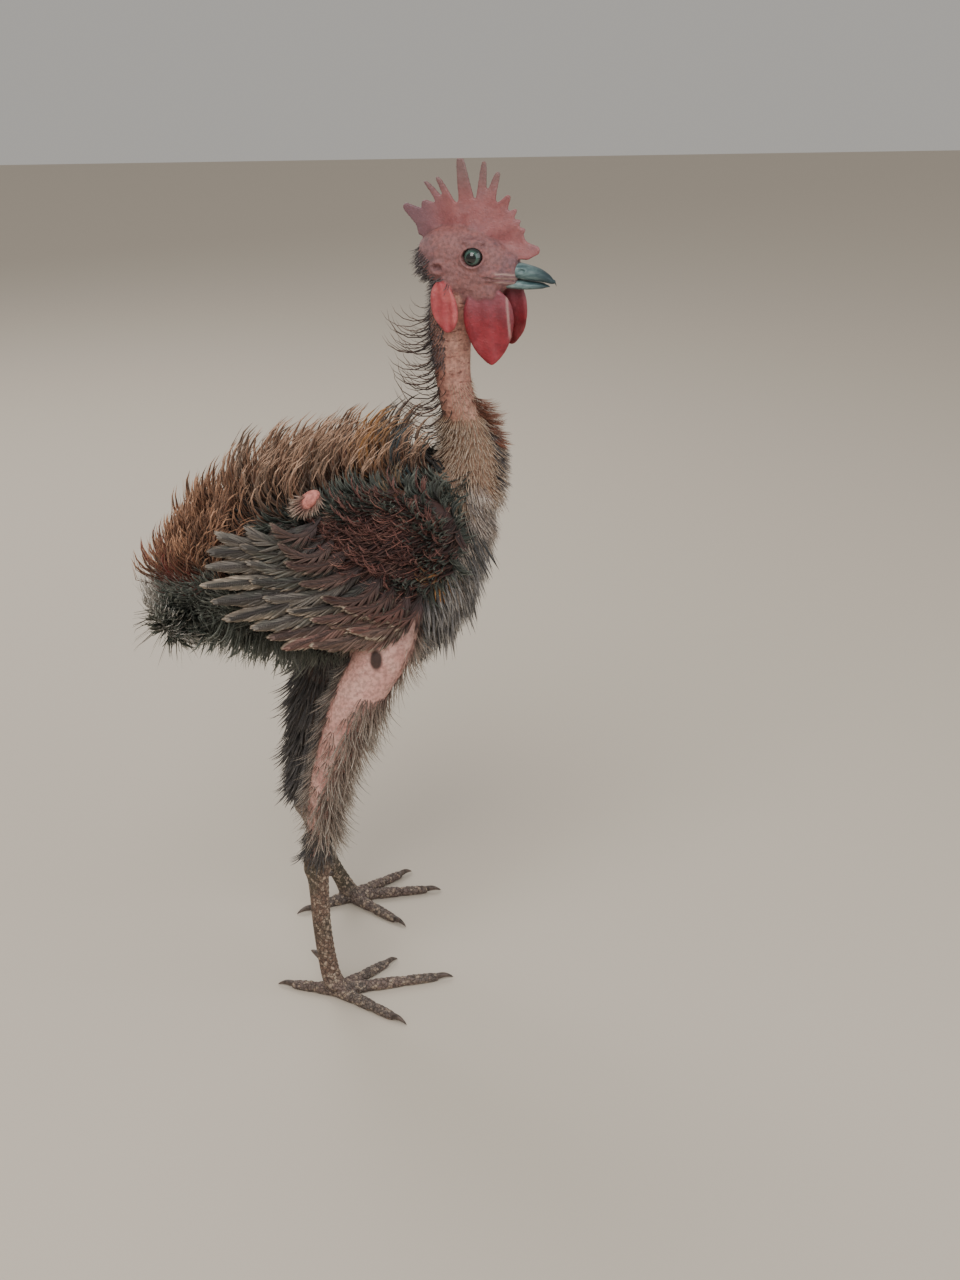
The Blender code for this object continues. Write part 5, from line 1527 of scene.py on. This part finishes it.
def paintHorn(graph):
    grain = graph.noise(graph.place((1, 1, 0.4)), 400)
    colour = graph.over(graph.mix(grain.step(0.35, 0.65), (58, 48, 44), (96, 82, 74)),
                        (graph.noise(graph.place(), 120, 2).step(0.5, 0.7) * 0.5, (126, 112, 102)))
    return {"Base Color": colour, "Roughness": 0.42, "Normal": graph.relief(grain, 0.2, 0.0003)}


eyeLook, billLook, hornLook = newLook("eye", paintEye), newLook("bill", paintBill), newLook("horn", paintHorn)
flesh = ["torso", "neck", "head", "tail", "comb"]
pieces = [(skin, flesh, "bare_skin")]
for side in sides:
    flesh += [f"{name}_{side}" for name in ("wing", "thigh", "shank", "wattle", "earlobe")]
    flesh += [f"toe_{name}_{side}" for name in toes[side]]
    claws = [f"claw_{name}_{side}" for name in toes[side]]
    for piece, look, nodes, slot in ((makeEye(side), eyeLook, [f"eye_{side}"], "eye"),
                                     (makeClaws(side), hornLook, claws, "claw"),
                                     (makeSpur(side), hornLook, [f"spur_{side}"], "claw")):
        piece.data.materials.append(look)
        pieces.append((piece, nodes, slot))
for half in ("upper", "lower"):
    piece = makeBill(half)
    piece.data.materials.append(billLook)
    pieces.append((piece, [f"beak_{half}"], "bill"))
keepInside(skin.data)
for piece, nodes, slot in pieces:
    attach(piece, "root")
    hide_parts(*nodes)
for piece in coats:
    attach(piece, "root")
print("pieces placed")

# Floor, light and camera


def paintFloor(graph):
    return {"Base Color": tint(206, 196, 182), "Roughness": 0.85}


floorMesh = bpy.data.meshes.new("floor")
floorMesh.from_pydata([(-4, -4, 0), (4, -4, 0), (4, 4, 0), (-4, 4, 0)], [], [(0, 1, 2, 3)])
floorMesh.materials.append(newLook("floor", paintFloor))
floor = linked(bpy.data.objects.new("floor", floorMesh))
lampsAim = Vector((0, 0, 0.3))
for name, at, size, power, warmth in (("key", (-0.5, -1.3, 1.9), 1.3, 30, (1, 0.97, 0.93)),
                                      ("fill", (1.5, -1.0, 1.0), 1.6, 13, (0.94, 0.97, 1)),
                                      ("rim", (-0.6, 1.4, 1.5), 1.2, 16, (1, 0.98, 0.96))):
    lamp = bpy.data.lights.new(name, "AREA")
    lamp.size, lamp.energy, lamp.color = size, power, warmth
    lampPiece = linked(bpy.data.objects.new(name, lamp))
    turn = (lampsAim - Vector(at)).to_track_quat("-Z", "Y").to_matrix().to_4x4()
    lampPiece.matrix_world = Matrix.Translation(at) @ turn

world = bpy.data.worlds.new("studio")
world.use_nodes = True
world.node_tree.nodes["Background"].inputs["Color"].default_value = tint(214, 210, 204)
world.node_tree.nodes["Background"].inputs["Strength"].default_value = 0.65
bpy.context.scene.world = world

camera = bpy.data.cameras.new("camera")
camera.lens, camera.sensor_width = 51.98, 36
cameraPiece = linked(bpy.data.objects.new("camera", camera))
cameraPiece.location = (-0.02981, -1.19347, 0.750)
cameraPiece.rotation_euler = Euler((math.radians(67.2), 0, math.radians(-6)))
bpy.context.scene.camera = cameraPiece
